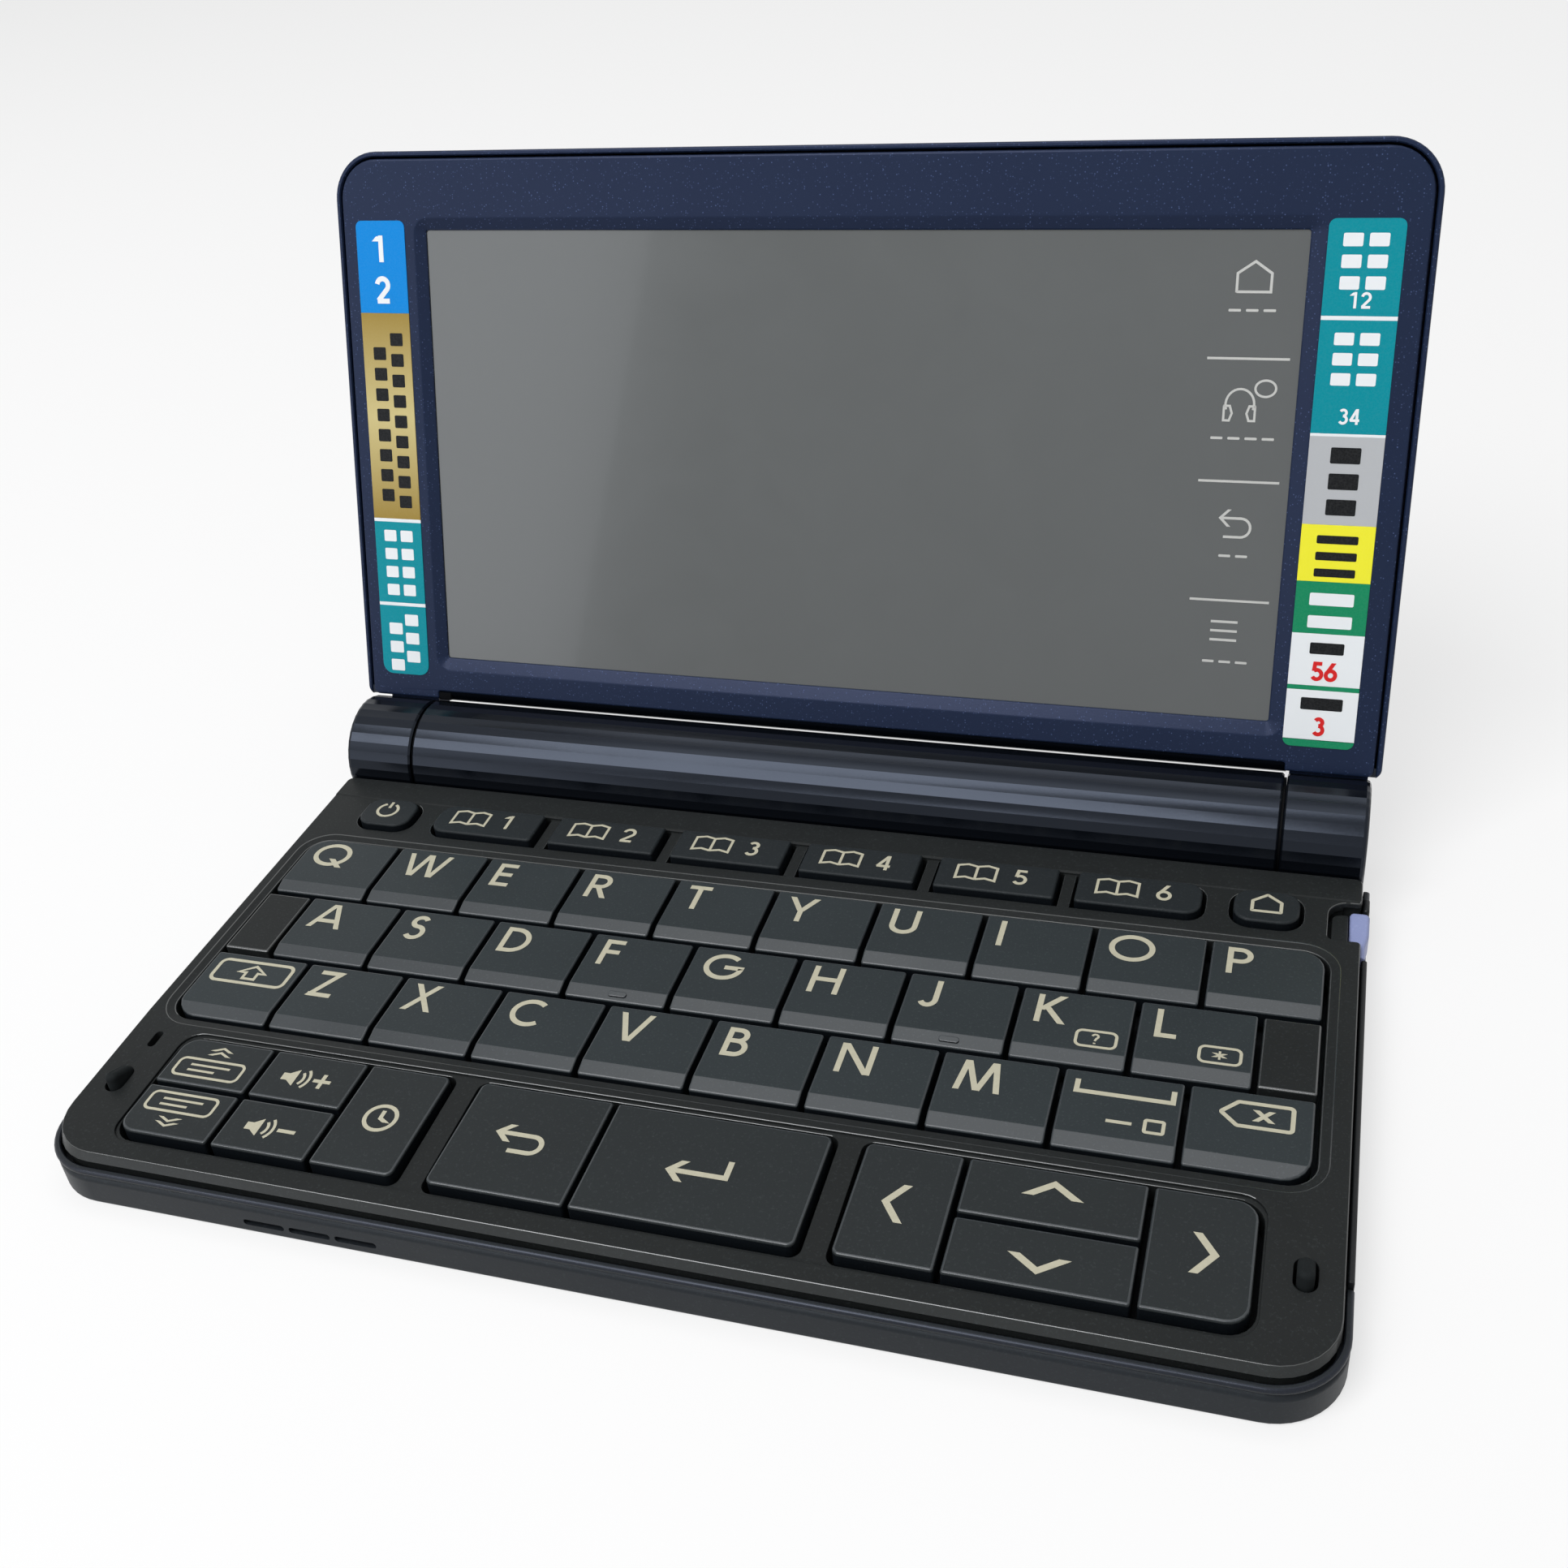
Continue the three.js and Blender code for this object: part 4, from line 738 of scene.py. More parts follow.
GLYPHS = {
    "A": [[(0.06, 0), (0.46, 1)], [(0.52, 1), (0.92, 0)], bar(0.78, 0.3, 0.2)],
    "B": [STEM, bowl(0.3, 0.735, 0.2, TOP - 0.735), bowl(0.32, 0.309, 0.24, 0.235)],
    "C": [arc(0.52, 0.5, 0.45, TOP - 0.5, 48, 312, 33)],
    "D": [STEM, bowl(0.3, 0.5, 0.44, TOP - 0.5, 25)],
    "E": [STEM, bar(0.56, TOP), bar(0.52, 0.52), bar(0.56, HAIR)],
    "F": [STEM, bar(0.54, TOP), bar(0.5, 0.52)],
    "G": [arc(0.54, 0.5, 0.47, TOP - 0.5, 48, 358, 37) + [(1.01, 0.49), (0.56, 0.49)]],
    "H": [STEM, [(0.74, 0), (0.74, 1)], bar(0.74, 0.52)],
    "I": [STEM],
    "J": [[(0.4, 1), (0.4, 0.3)] + arc(0.21, 0.3, 0.19, 0.3 - HAIR, 0, -150, 15)[1:]],
    "K": [STEM, [(0.12, 0.44), (0.62, 1)], [(0.26, 0.56), (0.68, 0)]],
    "L": [STEM, bar(0.52, HAIR)],
    "M": [[(0.08, 0), (0.22, 1)], [(0.24, 1), (0.55, 0.02)], [(0.57, 0.02), (0.88, 1)], [(0.9, 1), (1.04, 0)]],
    "N": [STEM, [(0.1, 1), (0.8, 0)], [(0.82, 0), (0.82, 1)]],
    "O": [ring(0.54, 0.5, 0.51, TOP - 0.48)],
    "P": [STEM, bowl(0.32, 0.7, 0.24, TOP - 0.7)],
    "Q": [ring(0.54, 0.5, 0.51, TOP - 0.48), [(0.62, 0.32), (0.98, -0.04)]],
    "R": [STEM, bowl(0.32, 0.7, 0.23, TOP - 0.7), [(0.3, 0.46), (0.58, 0)]],
    "S": [arc(0.31, 0.735, 0.19, TOP - 0.735, 28, 268, 19) + arc(0.31, 0.309, 0.23, 0.235, 88, -148, 19)],
    "T": [bar(0.64, TOP, 0), [(0.32, 0), (0.32, TOP)]],
    "U": [[(HAIR, 1)] + arc(0.38, 0.34, 0.38 - HAIR, 0.34 - HAIR, 180, 360) + [(0.76 - HAIR, 1)]],
    "V": [[(0.07, 1), (0.43, 0)], [(0.47, 0), (0.83, 1)]],
    "W": [[(0.07, 1), (0.36, 0)], [(0.4, 0), (0.66, 1)], [(0.7, 1), (0.96, 0)], [(1.0, 0), (1.29, 1)]],
    "X": [[(0.06, 1), (0.7, 0)], [(0.66, 1), (0.02, 0)]],
    "Y": [[(0.07, 1), (0.4, 0.44)], [(0.75, 1), (0.42, 0.44)], [(0.41, 0), (0.41, 0.5)]],
    "Z": [bar(0.7, TOP, 0.06), [(0.68, 0.99), (0.1, 0.01)], bar(0.74, HAIR, 0.06)],
    "1": [[(0.1, 0.78), (0.3, 0.97)], [(0.34, 0), (0.34, 1)]],
    "2": [arc(0.32, 0.68, 0.24, TOP - 0.68, 170, -35) + [(0.1, 0.09)], bar(0.6, HAIR, 0.06)],
    "3": [arc(0.28, 0.735, 0.19, TOP - 0.735, 150, -90, 15), arc(0.28, 0.309, 0.23, 0.235, 90, -150)],
    "4": [[(0.46, 0), (0.46, 1)], [(0.44, 0.97), (0.08, 0.27)], bar(0.62, 0.27, 0.04)],
    "5": [[(0.52, TOP), (0.16, TOP), (0.12, 0.52)], arc(0.28, 0.33, 0.24, 0.256, 130, -150, 19)],
    "6": [[(0.44, 1), (0.12, 0.44)], ring(0.31, 0.32, 0.24, 0.246)],
    "?": [arc(0.26, 0.74, 0.2, 0.2, 170, -60, 15) + [(0.26, 0.3)], [(0.26, 0.0), (0.26, 0.12)]],
    "*": [[(0.3, 0.1), (0.3, 0.9)], [(-0.05, 0.3), (0.65, 0.7)], [(-0.05, 0.7), (0.65, 0.3)]],
}


def glyph(sign, size, x=0, y=0):
    """A letter's or figure's strokes at a size, from its lower left corner."""
    return [np.array(path) * size + (x, y) for path in GLYPHS[sign]]


# A legend is a place on the key, as shares of its width and depth and an offset, and its groups of strokes.
CAP_HEIGHT, CAP_LEFT, CAP_DOWN = 4.8, 1.9, 0.95
legends = {name: [(0, 1, CAP_LEFT, -CAP_DOWN - CAP_HEIGHT, (0.7, glyph(name.upper(), CAP_HEIGHT)))]
           for name in letter_names if len(name) == 1}
# K and L also have a small boxed sign.
for name, sign in (("k", "?"), ("l", "*")):
    legends[name].append((1, 0, -6.0, 2.75, (0.36, [loop(rectangle(0, 4.6, 0, 2.6, 0.7))]),
                          (0.27, glyph(sign, 1.7, 1.75, 0.45))))
# Shift is a boxed upward arrow, space a wide bracket over a dash and a square, delete a tag with a cross.
legends["shift"] = [(0.5, 1, 0.2, -3.25, (0.48, [loop(rectangle(-5.3, 5.3, -2.0, 2.0, 0.9))]), (0.4, [
    [(-1.9, 0), (0, 1.25), (1.9, 0), (0.85, 0), (0.85, -1.15), (-0.85, -1.15), (-0.85, 0), (-1.9, 0)]]))]
legends["space"] = [(0, 1, 7.0, -2.4, (0.6, [[(-5.4, 0.9), (-5.4, -0.9), (5.2, -0.9), (5.2, 0.9)]]),
                     (0.45, [[(-1.6, -4.9), (1.2, -4.9)]]), (0.4, [loop(rectangle(2.6, 4.6, -5.8, -4.0, 0.2))]))]
legends["delete"] = [(0, 1, 7.3, -3.4, (0.5, [loop([
    (-3.9, 0, 0.2), (-2.1, -1.8, 0.3), (3.7, -1.8, 0.4), (3.7, 1.8, 0.4), (-2.1, 1.8, 0.3)], 4)]),
    (0.5, [[(-0.2, 0.85), (1.5, -0.85)], [(-0.2, -0.85), (1.5, 0.85)]]))]
# Page keys: a boxed page of two lines, with a double chevron beyond it. Volume keys: a loudspeaker with two
# waves, and a plus or a minus.
speaker = loop([(-2.9, -0.55, 0.05), (-2.1, -0.55, 0.05), (-1.0, -1.35, 0.05), (-1.0, 1.35, 0.05), (-2.1, 0.55, 0.05),
                (-2.9, 0.55, 0.05)], 4)
waves = [arc(-1.4, 0, radius, radius, -42, 42, 9) for radius in (1.35, 2.1)]
signs = [[(1.3, 0), (3.6, 0)], [(2.45, -1.15), (2.45, 1.15)]]
for end, way, down in (("up", 1, 1.05), ("down", -1, -1.35)):
    chevrons = [[(-1.25, way * d), (0, way * (d + 0.6)), (1.25, way * d)] for d in (2.3, 3.05)]
    legends["page_" + end] = [(0, 0.5, 5.8, -down, (0.36, [loop(rectangle(-4.45, 4.45, -1.42, 1.42, 0.75))]),
                               (0.32, [[(-2.7, 0.45), (2.7, 0.45)], [(-2.7, -0.45), (1.0, -0.45)]]), (0.3, chevrons))]
    legends["volume_" + end] = [(0, 0.5, 5.6, -0.15, (0, [speaker]), (0.36, waves), (0.5, signs[:1 + (way > 0)]))]
# Each arrow key has one broad chevron.
LONG, SHORT = 2.62, 0.95
for name, dx, dy, x, y in (("left", -1, 0, -0.5, 0), ("right", 1, 0, 0.45, 0), ("up", 0, 1, -0.05, 0.9),
                           ("down", 0, -1, -0.05, -0.6)):
    legends[name] = [(0.5, 0.5, x, y, (0.75, [[
        (-dx * SHORT - dy * LONG, -dy * SHORT - dx * LONG), (dx * SHORT, dy * SHORT),
        (-dx * SHORT + dy * LONG, -dy * SHORT + dx * LONG)]]))]
# A clock face, an arrow that turns back, a return arrow, a broken ring with a bar, and a little house.
house = [(-1.75, -1.6, 0.1), (1.75, -1.6, 0.1), (1.75, 0.35, 0.1), (0, 1.75, 0.1), (-1.75, 0.35, 0.1)]
for name, x, y, width, paths in (
        ("history", -0.1, 0, 0.5, [ring(0, 0, 1.9, 1.9), [(0, 1.15), (0, -0.05), (0.95, -0.6)]]),
        ("back", -0.1, 0, 0.6, [[(-2.9, 0.9)] + arc(1.5, -0.35, 1.25, 1.25, 90, -90, 13) + [(-0.9, -1.6)],
                                [(-1.5, 2.2), (-2.9, 0.9), (-1.5, -0.4)]]),
        ("enter", -0.3, 0, 0.66, [[(3.2, 1.9), (3.2, -0.5), (-3.3, -0.5)],
                                  [(-1.8, 1.0), (-3.3, -0.5), (-1.8, -2.0)]]),
        ("power", -0.3, 0.3, 0.42, [arc(0, 0, 1.5, 1.5, 118, 422, 27), [(0, 0.5), (0, 1.9)]]),
        ("home", 0, 0.4, 0.42, [loop(house, 2)])):
    legends[name] = [(0.5, 0.5, x, y, (width, paths))]
# The function keys have an open book and a plain number.
pages = [
    [(-2.7, 1.3), (-4.0, 1.65), (-5.3, 1.3), (-5.3, -1.4), (-4.0, -1.05), (-2.7, -1.4)], [(-2.7, 1.3), (-2.7, -1.4)],
    [(-2.7, 1.3), (-1.4, 1.65), (-0.1, 1.3), (-0.1, -1.4), (-1.4, -1.05), (-2.7, -1.4)]]
for name in function_names:
    legends[name] = [(0.5, 0.5, 0, 0.35, (0.36, pages), (0.46, glyph(name[-1], 3.1, 2.2, -1.55)))]


def printed_ink(tree, place, colour):
    """Pad-printed ink: opaque, slightly glossy, with the faint unevenness of the pad."""
    pad_mark, shade = clouded(tree, place, 0.5, 4.0, colour)
    bump = add(tree, "Bump", {"Height": pad_mark, "Distance": 0.01 * MM})
    return {"Base Color": shade, "Roughness": 0.48, "Normal": bump}


key_abs, control_key_painted_shade, key_edge_abs, key_wall_painted_shade, small_key_abs = [
    material(name, moulded_plastic, colour, fleck, roughness, 0.30, relief_mm, gloss)
    for name, colour, fleck, roughness, relief_mm, gloss in (
        ("key_abs_etched", ("#2e3335", "#33393b"), "#424849", 0.34, 0.008, 0.10),
        # The control keys' copy is a little darker: painted shade.
        ("control_key_abs_painted_shade", ("#292c2d", "#2d3132"), "#3b3f40", 0.34, 0.008, 0.09),
        ("key_abs_handled_facet", ("#2b3033", "#303538"), "#3f4548", 0.30, 0.005, 0.46),
        # The walls' copy is painted darker: painted shade of the openings.
        ("key_abs_wall_painted_shade", ("#0e1114", "#12161a"), "#1c2125", 0.40, 0.006, 0.08),
        ("small_key_abs_etched", ("#212527", "#262a2c"), "#35393b", 0.38, 0.008, 0.10))]
legend_ink = material("legend_ink_cream", printed_ink, ("#b3ae97", "#c4bfa8"))
FACET_DEPTH, FACET_DROP, FACET_SOFT = 1.9, 0.5, 0.12
SOFT, TIGHT, LETTER_EDGE, SMALL_EDGE = 3.0, 0.35, 0.25, 0.32
key_radii = {
    "q": (TIGHT, TIGHT, TIGHT, SOFT), "p": (TIGHT, TIGHT, SOFT, TIGHT), "shift": (SOFT, TIGHT, TIGHT, TIGHT),
    "delete": (TIGHT, SOFT, TIGHT, TIGHT), "power": 2.2, "home": 2.2, "function_1": (2, 0.6, 0.6, 2),
    "function_6": (0.6, 2, 2, 0.6), "page_up": (TIGHT, TIGHT, TIGHT, 2.2), "page_down": (2.2, TIGHT, TIGHT, TIGHT),
    "history": (TIGHT, 0.9, 0.9, TIGHT), "back": (0.9, TIGHT, TIGHT, 0.9), "enter": (TIGHT, 0.9, 0.9, TIGHT),
    "left": (0.9, TIGHT, TIGHT, 0.9), "right": (TIGHT, 2.4, 2.4, TIGHT),
}
for name in letter_names + function_names + ["power", "home"] + control_names:
    low, high = cad_box(f"key_{name}")
    plane, lettered = high[2], name in letter_names
    edge = LETTER_EDGE if lettered else SMALL_EDGE
    shells = [block(low[0], high[0], low[1], high[1], key_radii.get(name, TIGHT),
                    [(0, low[2])] + quarter(edge, plane - edge, edge, 180, 90), 5)]
    if name in "fj":
        x, y = (low[0] + high[0]) / 2, low[1] + 0.6
        shells.append(block(x - 1.0, x + 1.4, y, y + 0.7, 0.3,
                            [(0, plane - 0.2), (0, plane + 0.16), (0.1, plane + 0.22)], 4))
    for share_x, share_y, dx, dy, *groups in legends[name]:
        x, y, _ = low + (share_x, share_y, 1) * (high - low) + (dx, dy, 0)
        shells += ink(groups, x, y, plane)
    top_abs = key_abs if lettered else control_key_painted_shade if name in control_names else small_key_abs
    key = make(f"cap_{name}", shells, [top_abs, legend_ink, key_edge_abs, key_wall_painted_shade])
    if lettered:
        bend = low[1] + FACET_DEPTH

        def facet_drop(y, z):
            """The top falls in front of the bend, which is softened over a short length."""
            past = np.clip(bend + FACET_SOFT - y, 0, None)
            softened = np.where(past < 2 * FACET_SOFT, past ** 2 / (4 * FACET_SOFT), past - FACET_SOFT)
            return -softened * (FACET_DROP / FACET_DEPTH) * (z > plane - 1)

        fold(key, [bend + FACET_SOFT, bend, bend - FACET_SOFT], facet_drop)
    if top_abs != small_key_abs:
        polish(key, 2, 9, 75 if lettered else 40)
    # Every wall takes the dark copy: painted shade.
    polish(key, 3, 80, 92)
    fit(key, f"key_{name}", "key_plastic", f"key_{name}")


# Stylus: a slim moulded pen in an open groove along the right side. Its lavender cap shows in the panel's
# notch, where a fingernail draws it out sideways, and its dark body runs on to a thin tip.
def along_y(points):
    """Outlines drawn in Z and X, with the third value along Y."""
    return points[:, [1, 2, 0]]


lavender_abs = material("stylus_cap_abs_lavender", moulded_plastic, ("#8a93bd", "#929bc4"), "#a2a9d0", 0.45, 0.4,
                        0.006, 0.3)
pen_abs = material("stylus_body_abs", moulded_plastic, ("#101214", "#141618"), "#232528", 0.42, 0.3, 0.008, 0.22)
CAP_START = 16.9
# The cap's sections are rounded rectangles: a place along Y, then a range of X and one of Z. The body is a
# bar with a rib along its outer edge, drawn in Z and X.
cap = skin([
    level(outline(rectangle(z0, z1, x0, x1, min(0.45, (x1 - x0) / 2.1)), 0, 5), y)
    for y, x0, x1, z0, z1 in (
        (CAP_START, 71.45, 73.42, 2.9, 6.4), (19.2, 71.45, 73.42, 2.9, 6.4), (20.4, 71.45, 73.62, 2.9, 6.4),
        (21.6, 71.45, 73.82, 2.9, 6.4), (25.1, 71.45, 73.85, 2.9, 6.4), (25.5, 71.55, 73.75, 3.0, 6.3),
        (25.7, 71.85, 73.4, 3.4, 5.9))])
body_corners = [(3.0, 71.1, 0.35), (5.2, 71.1, 0.35), (5.2, 73.02, 0.1), (6.25, 73.02, 0.25), (6.25, 73.72, 0.3),
                (3.0, 73.72, 0.4)]
body_sections = [(0.1, -32.8), (0, -32.7), (0, CAP_START - 0.3), (0.1, CAP_START - 0.15)]
stylus = make("stylus_pen", [cap, skin(rings(body_corners, body_sections, 5), 1)], [lavender_abs, pen_abs], along_y)
fit(stylus, "stylus", "stylus_plastic", "stylus")
groove_end = block(73.0, 73.78, NOTCH_REAR - 0.1, 28.6, 0.38,
                   [(0, 4.0), (0, 6.0)] + quarter(0.3, 6.2, 0.3, 160, 100, 4), 5)
fit(make("stylus_groove_end", [groove_end], [pen_abs]), "base", "case_plastic")


# Lid bezel: the lid's face, moulded in one with its hinge knuckles and painted in navy with mica. Its window
# has a sloped frame. Its foot is cut back for the barrel; a near-black bar behind the cut, and at the left a
# near-black block, are painted shade for the gap over the barrel. Two near-black heels close the groove
# between bezel and cover, painted shade at its bottom.

# From here on, pieces are drawn in the lid's own frame: X as before, Y up the lid from the hinge axis and
# Z towards the reader. They are then turned to the angle at which the lid stands open.
lid_hinge = next(joint for joint in frame["joints"] if joint["name"] == "lid_hinge")
LID_TILT = math.radians(180 + lid_hinge["range_deg"][0])


def on_lid(points):
    """Turns lid coordinates about the hinge axis into the part's frame."""
    x, up, out = points.T
    return np.column_stack([x, HINGE[0] + up * math.cos(LID_TILT) - out * math.sin(LID_TILT),
                            HINGE[1] + up * math.sin(LID_TILT) + out * math.cos(LID_TILT)])


def fleck_paint(tree, place, colour, fleck, roughness):
    """Navy lacquer with fine mica: sparse bright specks a tenth of a millimetre wide, drawn twice as wide
    so that they show."""
    cells = add(tree, "TexVoronoi", {"Vector": place, "Scale": 1 / (0.3 * MM)})
    spot = add(tree, "MapRange", {"Value": cells, "From Min": 0.34, "From Max": 0.12})
    pick = add(tree, "SeparateColor", {0: cells.outputs["Color"]})
    lit = add(tree, "MapRange", {"Value": pick, "From Min": 0.6, "From Max": 1.0})
    shine = add(tree, "Math", {0: spot, 1: lit}, operation="MULTIPLY")
    _, shade = clouded(tree, place, 16, 2.0, colour)
    paint = add(tree, "Mix", {0: shine, 6: shade, 7: fleck}, data_type="RGBA")
    grain = add(tree, "TexNoise", {"Vector": place, "Scale": 1 / (0.3 * MM), "Detail": 3.0})
    bump = add(tree, "Bump", {"Height": grain, "Distance": 0.008 * MM})
    return {"Base Color": paint, "Roughness": roughness, "Specular IOR Level": 0.2, "Specular Tint": "#cdd6ff",
            "Normal": bump}


navy_mica = material("lid_lacquer_navy_mica", fleck_paint, ("#172137", "#1b263c"), "#4c5c82", 0.30)
FACE, BEZEL_HALF, BEZEL_TOP, BEZEL_BACK = -1.4, 73.0, 85.2, -6.0
BEZEL_FOOT, FOOT_CUT, CUT_HALF = 7.95, 9.1, 61.9
bezel_corners = [
    (-BEZEL_HALF, BEZEL_FOOT, 0.9), (-CUT_HALF, BEZEL_FOOT, 0.25), (-CUT_HALF, FOOT_CUT, 0.4),
    (CUT_HALF, FOOT_CUT, 0.4), (CUT_HALF, BEZEL_FOOT, 0.25), (BEZEL_HALF, BEZEL_FOOT, 0.9),
    (BEZEL_HALF, BEZEL_TOP, 5.5), (-BEZEL_HALF, BEZEL_TOP, 5.5),
]
bezel_rim = quarter(0.3, FACE - 0.3, 0.3, 90, 180) + [(0, BEZEL_BACK)]
window = rectangle(-60.3, 59.3, 14.3, 75.7, 0.35)
sloped = rectangle(-61.7, 61.0, 12.6, 77.2, 2.0)
LIP, GLASS_MARGIN = FACE - 0.8, 2.3
window_rim = np.concatenate([
    rings(sloped, [(-0.3, FACE), (-0.14, FACE - 0.015), (0.0, FACE - 0.07)]),
    rings(window, [(-0.2, FACE - 0.58), (-0.06, FACE - 0.66), (0.0, FACE - 0.75), (0, LIP), (-GLASS_MARGIN, LIP),
                   (-GLASS_MARGIN, BEZEL_BACK)])])
face_plate = plate(rings(bezel_corners, bezel_rim, 8), [window_rim])
# The foot bar's section is drawn in Y and Z.
foot_section = [(FOOT_CUT + 0.3, BEZEL_BACK + 0.1), (7.5, BEZEL_BACK + 0.1), (7.5, -2.85), (7.75, -2.3),
                (FOOT_CUT - 0.15, FACE - 0.12), (FOOT_CUT + 0.3, FACE - 0.1)]
# The bar takes the barrel's near-black paint: painted shade in the gap over the barrel.
foot_bar = skin([[(x, up, out) for up, out in foot_section] for x in (-CUT_HALF - 0.2, CUT_HALF + 0.2)], 1)
# At the left end a block in the near-black bare plastic: painted shade where the gap shows black.
left_shade_block = block(-CUT_HALF - 0.1, -CUT_HALF + 2.0, 7.77, FOOT_CUT + 0.2, 0.2,
                   [(0, -3.4), (0, FACE - 0.25), (0.15, FACE - 0.12)], 3, 2)
# The heels take the near-black paint: painted shade at the groove's bottom.
heels = [block(x, x + 1.28, BEZEL_FOOT + 0.05, 9.2, 0.05, [(0, BEZEL_BACK + 0.2), (0, FACE - 0.35)], 1, 1)
         for x in (-73.28, 72.0)]
necks = [block(x0, x1, 5.5, BEZEL_FOOT + 1.5, 0.2, [(0, BEZEL_BACK + 0.2), (0, FACE - 1.0)], 3)
         for x0, x1 in ((-70.5, -62.5), (62.5, 72.4))]
bezel = make("lid_bezel_moulding", [face_plate, foot_bar, left_shade_block, *heels, *necks],
             [navy_mica, barrel_paint, bare_abs], on_lid)
fit(bezel, "lid", "lid_plastic", "lid_bezel")
# Each knuckle has the barrel's section, a rounded outer end and a blind bore. It is drawn as it stands.
KNUCKLE_START, KNUCKLE_END, BORE_END = 62.4, 72.9, 70.4
knuckles = []
for side, bore in ((1, 3.7), (-1, 3.5)):
    steps = [(BORE_END, bore), (KNUCKLE_START, bore), (KNUCKLE_START, BARREL_RADIUS - EDGE),
             (KNUCKLE_START + EDGE, BARREL_RADIUS), (KNUCKLE_END - 0.6, BARREL_RADIUS),
             (KNUCKLE_END - 0.25, BARREL_RADIUS - 0.12), (KNUCKLE_END - 0.07, BARREL_RADIUS - 0.35),
             (KNUCKLE_END, BARREL_RADIUS - 0.65)]
    knuckles.append(skin([level(flats(radius), side * x) for x, radius in steps[::side]]))
fit(make("lid_bezel_knuckles", knuckles, [barrel_paint], along_x), "lid", "barrel_plastic", crease=10)


# Lid cover: the outer shell, a shallow tray in the same navy lacquer. Its thin rim stands around the bezel
# across a fine groove, and its back is plain, with rounded edges.
RIM_HALF, COVER_TOP, COVER_FOOT, COVER_BACK, COVER_WALL = 74.0, 86.2, 7.7, -7.85, 0.7
EDGE_WIDTH, EDGE_HEIGHT = 2.2, 1.4
cover_profile = arc(EDGE_WIDTH, COVER_BACK + EDGE_HEIGHT, EDGE_WIDTH, EDGE_HEIGHT, 270, 180, 9)
cover_profile += [(0, -1.85), (0.05, -1.66), (0.14, -1.55), (0.27, -1.5)]
lid_shell = make("lid_cover_shell", [block(-RIM_HALF, RIM_HALF, COVER_FOOT, COVER_TOP, (1.4, 1.4, 6.5, 6.5),
                                           cover_profile, 12)], [navy_mica], on_lid)
carve(lid_shell, [block(-RIM_HALF, RIM_HALF, COVER_FOOT - 5, COVER_TOP, (1.2, 1.2, 6.5, 6.5), [
    (COVER_WALL, COVER_BACK + 1.35), (COVER_WALL, -1.75), (COVER_WALL - 0.15, -1.52), (COVER_WALL - 0.15, 0)], 12)],
    on_lid)
fit(lid_shell, "lid", "lid_plastic", "lid_cover")


# Touch screen: a sheet of hard-coated glass over an unlit liquid crystal display, so it looks mid grey.
# Four touch marks and the lines between them are printed in pale grey at its right end.
def coated_glass(tree, place, colour):
    """Glass bonded over an unlit grey display: an even grey with a clear coat, and faint smears on it."""
    smear, shade = clouded(tree, place, 11, 4.0, colour)
    smear.inputs["Distortion"].default_value = 0.6
    gloss = add(tree, "MapRange", {"Value": smear, "To Min": 0.1, "To Max": 0.2})
    return {"Base Color": shade, "Roughness": gloss, "Coat Weight": 0.3, "Coat Roughness": 0.04}


screen_glass = material("screen_glass_hard_coated", coated_glass, ("#4f5252", "#545757"))
print_grey = material("screen_print_grey", printed_ink, ("#b9b9b4", "#c2c2be"))
# Heights of what is printed run from the lid's foot.
GLASS_FRONT, FOOT_HEIGHT, MARK_X = FACE - 0.9, 8.19, 53.1
screen_shells = [
    block(-62.3, 61.3, 12.3, 77.7, 0.4, [(0, GLASS_FRONT - 0.7), (0, GLASS_FRONT - 0.1), (0.1, GLASS_FRONT)], 3),
    block(-61.3, 60.3, 12.8, 77.2, 0.5, [(0, -5.7), (0, GLASS_FRONT - 0.6)], 3)]
for dx, height, width, paths in (
        (0, 61.9, 0.32, [[(-2.05, -1.7), (2.05, -1.7), (2.05, 0.5), (0, 1.9), (-2.05, 0.5), (-2.05, -1.78)]]),
        *((0, height, 0.3, [[(-5.0, 0), (5.0, 0)]]) for height in (52.2, 37.0, 21.7)),
        (-0.6, 46.6, 0.28, [
            arc(0, 0, 1.75, 1.9, 200, -20, 19),
            [(-1.9, -0.2), (-1.9, -2.0), (-1.2, -2.0), (-0.9, -1.1), (-1.2, -0.2), (-1.98, -0.2)],
            [(1.9, -0.2), (1.9, -2.0), (1.2, -2.0), (0.9, -1.1), (1.2, -0.2), (1.98, -0.2)],
            ring(3.0, 2.0, 1.25, 1.0)]),
        (0, 31.6, 0.32, [[(-1.9, 0.75)] + arc(0.7, -0.45, 1.2, 1.2, 90, -90, 13) + [(-1.4, -1.65)],
                         [(-0.8, 1.85), (-1.9, 0.75), (-0.8, -0.35)]]),
        (-0.4, 17.7, 0.32, [[(-1.7, dy), (1.7, dy)] for dy in (1.2, 0, -1.2)])):
    screen_shells += ink([(width, paths)], MARK_X + dx, height + FOOT_HEIGHT, GLASS_FRONT)
BAR_PITCH, BAR_HALF = 2.1, (0.75, 0.16)
for height, count in ((58.0, 3), (42.4, 4), (27.5, 2), (13.6, 3)):
    for i in range(count):
        x, y = MARK_X + (i - (count - 1) / 2) * BAR_PITCH, height + FOOT_HEIGHT
        screen_shells.append(block(x - BAR_HALF[0], x + BAR_HALF[0], y - BAR_HALF[1], y + BAR_HALF[1], 0.1,
                                   [(0, GLASS_FRONT - INK), (0, GLASS_FRONT + INK)], 2, 1))
fit(make("touch_screen_glass", screen_shells, [screen_glass, print_grey], on_lid), "lid", "screen_glass",
    "touch_screen")


# Label strips: two glossy printed films on the bezel, one at each side of the screen. Their blocks keep
# the colours of an index of contents, and carry only plain numbers and rows of bars.
BLEND_START, BLEND_RISE = 40.8, 14.0


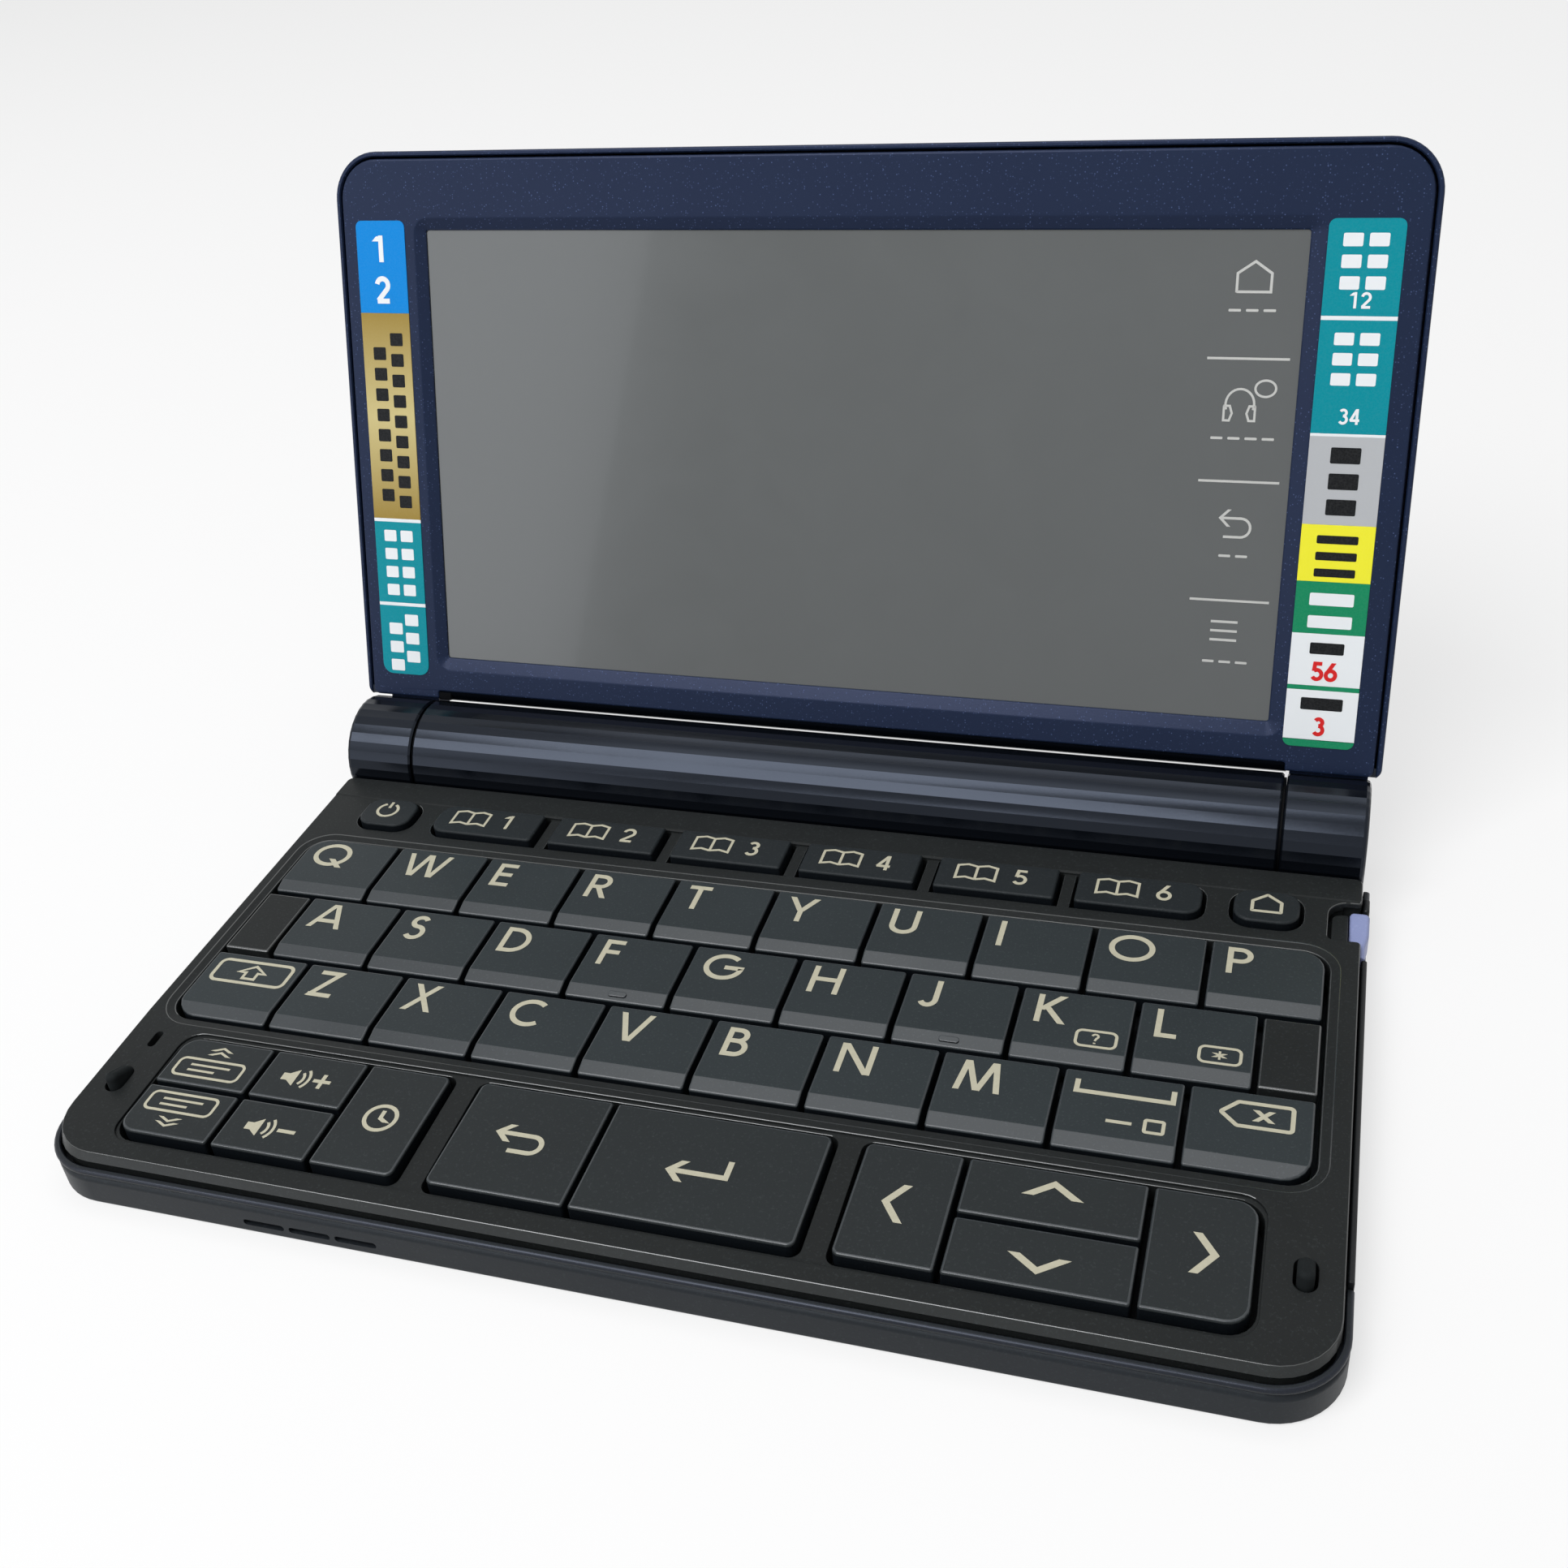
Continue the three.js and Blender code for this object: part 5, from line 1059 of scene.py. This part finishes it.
def printed_film(tree, place, colour, middle):
    """Offset-printed polypropylene film: flat bright colour under a soft gloss, with a trace of dot screen.
    A middle colour makes it a blend, palest half way up the gold block."""
    dots = add(tree, "TexVoronoi", {"Vector": place, "Scale": 1 / (0.25 * MM)})
    tone = add(tree, "MapRange", {"Value": dots, "To Min": 0.0, "To Max": 0.015})
    if middle:
        height = add(tree, "SeparateXYZ", {0: place}).outputs["Z"]
        above = add(tree, "Math", {0: height, 1: BLEND_START * MM}, operation="SUBTRACT")
        fold_back = add(tree, "Math", {0: above, 1: BLEND_RISE * MM}, operation="PINGPONG")
        share = add(tree, "MapRange", {"Value": fold_back, "From Max": BLEND_RISE * MM})
        colour = add(tree, "Mix", {0: share, 6: colour, 7: middle}, data_type="RGBA")
    shade = add(tree, "Mix", {0: tone, 6: colour, 7: "#ffffff"}, data_type="RGBA")
    film = add(tree, "TexNoise", {"Vector": place, "Scale": 1 / (6 * MM)})
    bump = add(tree, "Bump", {"Height": film, "Distance": 0.01 * MM})
    return {"Base Color": shade, "Roughness": 0.32, "Specular IOR Level": 0.08, "Normal": bump}


FILMS = {"blue": "#0083d2", "gold": "#9a813c", "teal": "#008a97", "silver": "#b4b6b8", "yellow": "#f0ea35",
         "green": "#12855a", "white": "#e8ebec", "black": "#121416", "red": "#d32222"}
film_order = list(FILMS)
film_finishes = [material(f"label_film_{name}", printed_film, colour, "#cabb82" if name == "gold" else None)
                 for name, colour in FILMS.items()]
FILM_TOP, STRIP_FOOT_RADIUS, STRIP_HEAD_RADIUS = FACE + 0.1, 1.6, 0.9
FIGURE_PITCH = 0.68
# A strip has blocks of colour up it, plain numbers centred on it, and columns of bars as dummy text. A
# number has its text, height, size, stroke and colour. A column has its places across, its upper end, its
# count, width, pitch and colour, and how much of its pitch a bar fills.
for name, x0, x1, heights, colours, numbers, columns in (
        ("label_strip_left", -71.0, -63.3, [3.2, 13.7, 14.2, 26.3, 26.8, 56.2, 68.8],
         ["teal", "white", "teal", "white", "gold", "blue"],
         [("1", 63.2, 3.6, 0.7, "white"), ("2", 57.6, 3.6, 0.7, "white")],
         [([1.6], 54.0, 9, 2.0, 2.9, "black", 0.62), ([-1.2], 52.0, 8, 2.0, 2.9, "black", 0.62),
          ([1.4, -1.3], 25.6, 4, 2.0, 2.7, "white", 0.62), ([1.4], 13.0, 3, 2.2, 2.8, "white", 0.62),
          ([-1.3], 11.6, 3, 2.2, 2.8, "white", 0.62)]),
        ("label_strip_right", 61.3, 70.2, [3.3, 4.3, 10.9, 11.5, 18.3, 25.0, 32.2, 43.1, 43.45, 57.0, 57.5, 68.8],
         ["green", "white", "green", "white", "green", "yellow", "silver", "white", "teal", "white", "teal"],
         [("12", 58.4, 1.9, 0.32, "white"), ("34", 44.6, 1.9, 0.32, "white"), ("56", 12.2, 2.4, 0.5, "red"),
          ("3", 4.9, 2.4, 0.5, "red")],
         [([1.5, -1.5], 67.6, 3, 2.3, 2.5, "white", 0.62), ([1.5, -1.5], 56.0, 3, 2.3, 2.4, "white", 0.62),
          ([0], 42.4, 3, 3.6, 3.2, "black", 0.62), ([0], 31.4, 3, 5.0, 2.1, "black", 0.5),
          ([0], 24.2, 2, 5.4, 2.9, "white", 0.55), ([0], 17.6, 1, 4.2, 2.4, "black", 0.62),
          ([0], 10.4, 1, 5.2, 2.6, "black", 0.62)])):
    shells = []
    for h0, h1, colour in zip(heights, heights[1:], colours):
        foot = min(STRIP_FOOT_RADIUS, h1 - h0) if h0 == heights[0] else LEAST_RADIUS
        head = STRIP_HEAD_RADIUS if h1 == heights[-1] else LEAST_RADIUS
        shells.append(block(x0, x1, h0 + FOOT_HEIGHT, h1 + FOOT_HEIGHT, (foot, foot, head, head),
                            [(0, FACE - 0.1), (0, FILM_TOP - 0.03), (0.03, FILM_TOP)], 5, film_order.index(colour)))
    middle = (x0 + x1) / 2
    for text, height, size, width, colour in numbers:
        for i, figure in enumerate(text):
            shells += ink([(width, glyph(figure, size))], middle + size * FIGURE_PITCH * (i - len(text) / 2),
                          height + FOOT_HEIGHT, FILM_TOP, film_order.index(colour))
    for places, height, count, width, pitch, colour, share in columns:
        for x in places:
            for i in range(count):
                y = height - pitch * (i + 0.5) + FOOT_HEIGHT
                shells.append(block(middle + x - width / 2, middle + x + width / 2, y - pitch * share / 2,
                                    y + pitch * share / 2, 0.18, [(0, FILM_TOP - 0.02), (0, FILM_TOP + 0.02)], 3,
                                    film_order.index(colour)))
    fit(make(name, shells, film_finishes, on_lid), "lid", "lid_plastic")
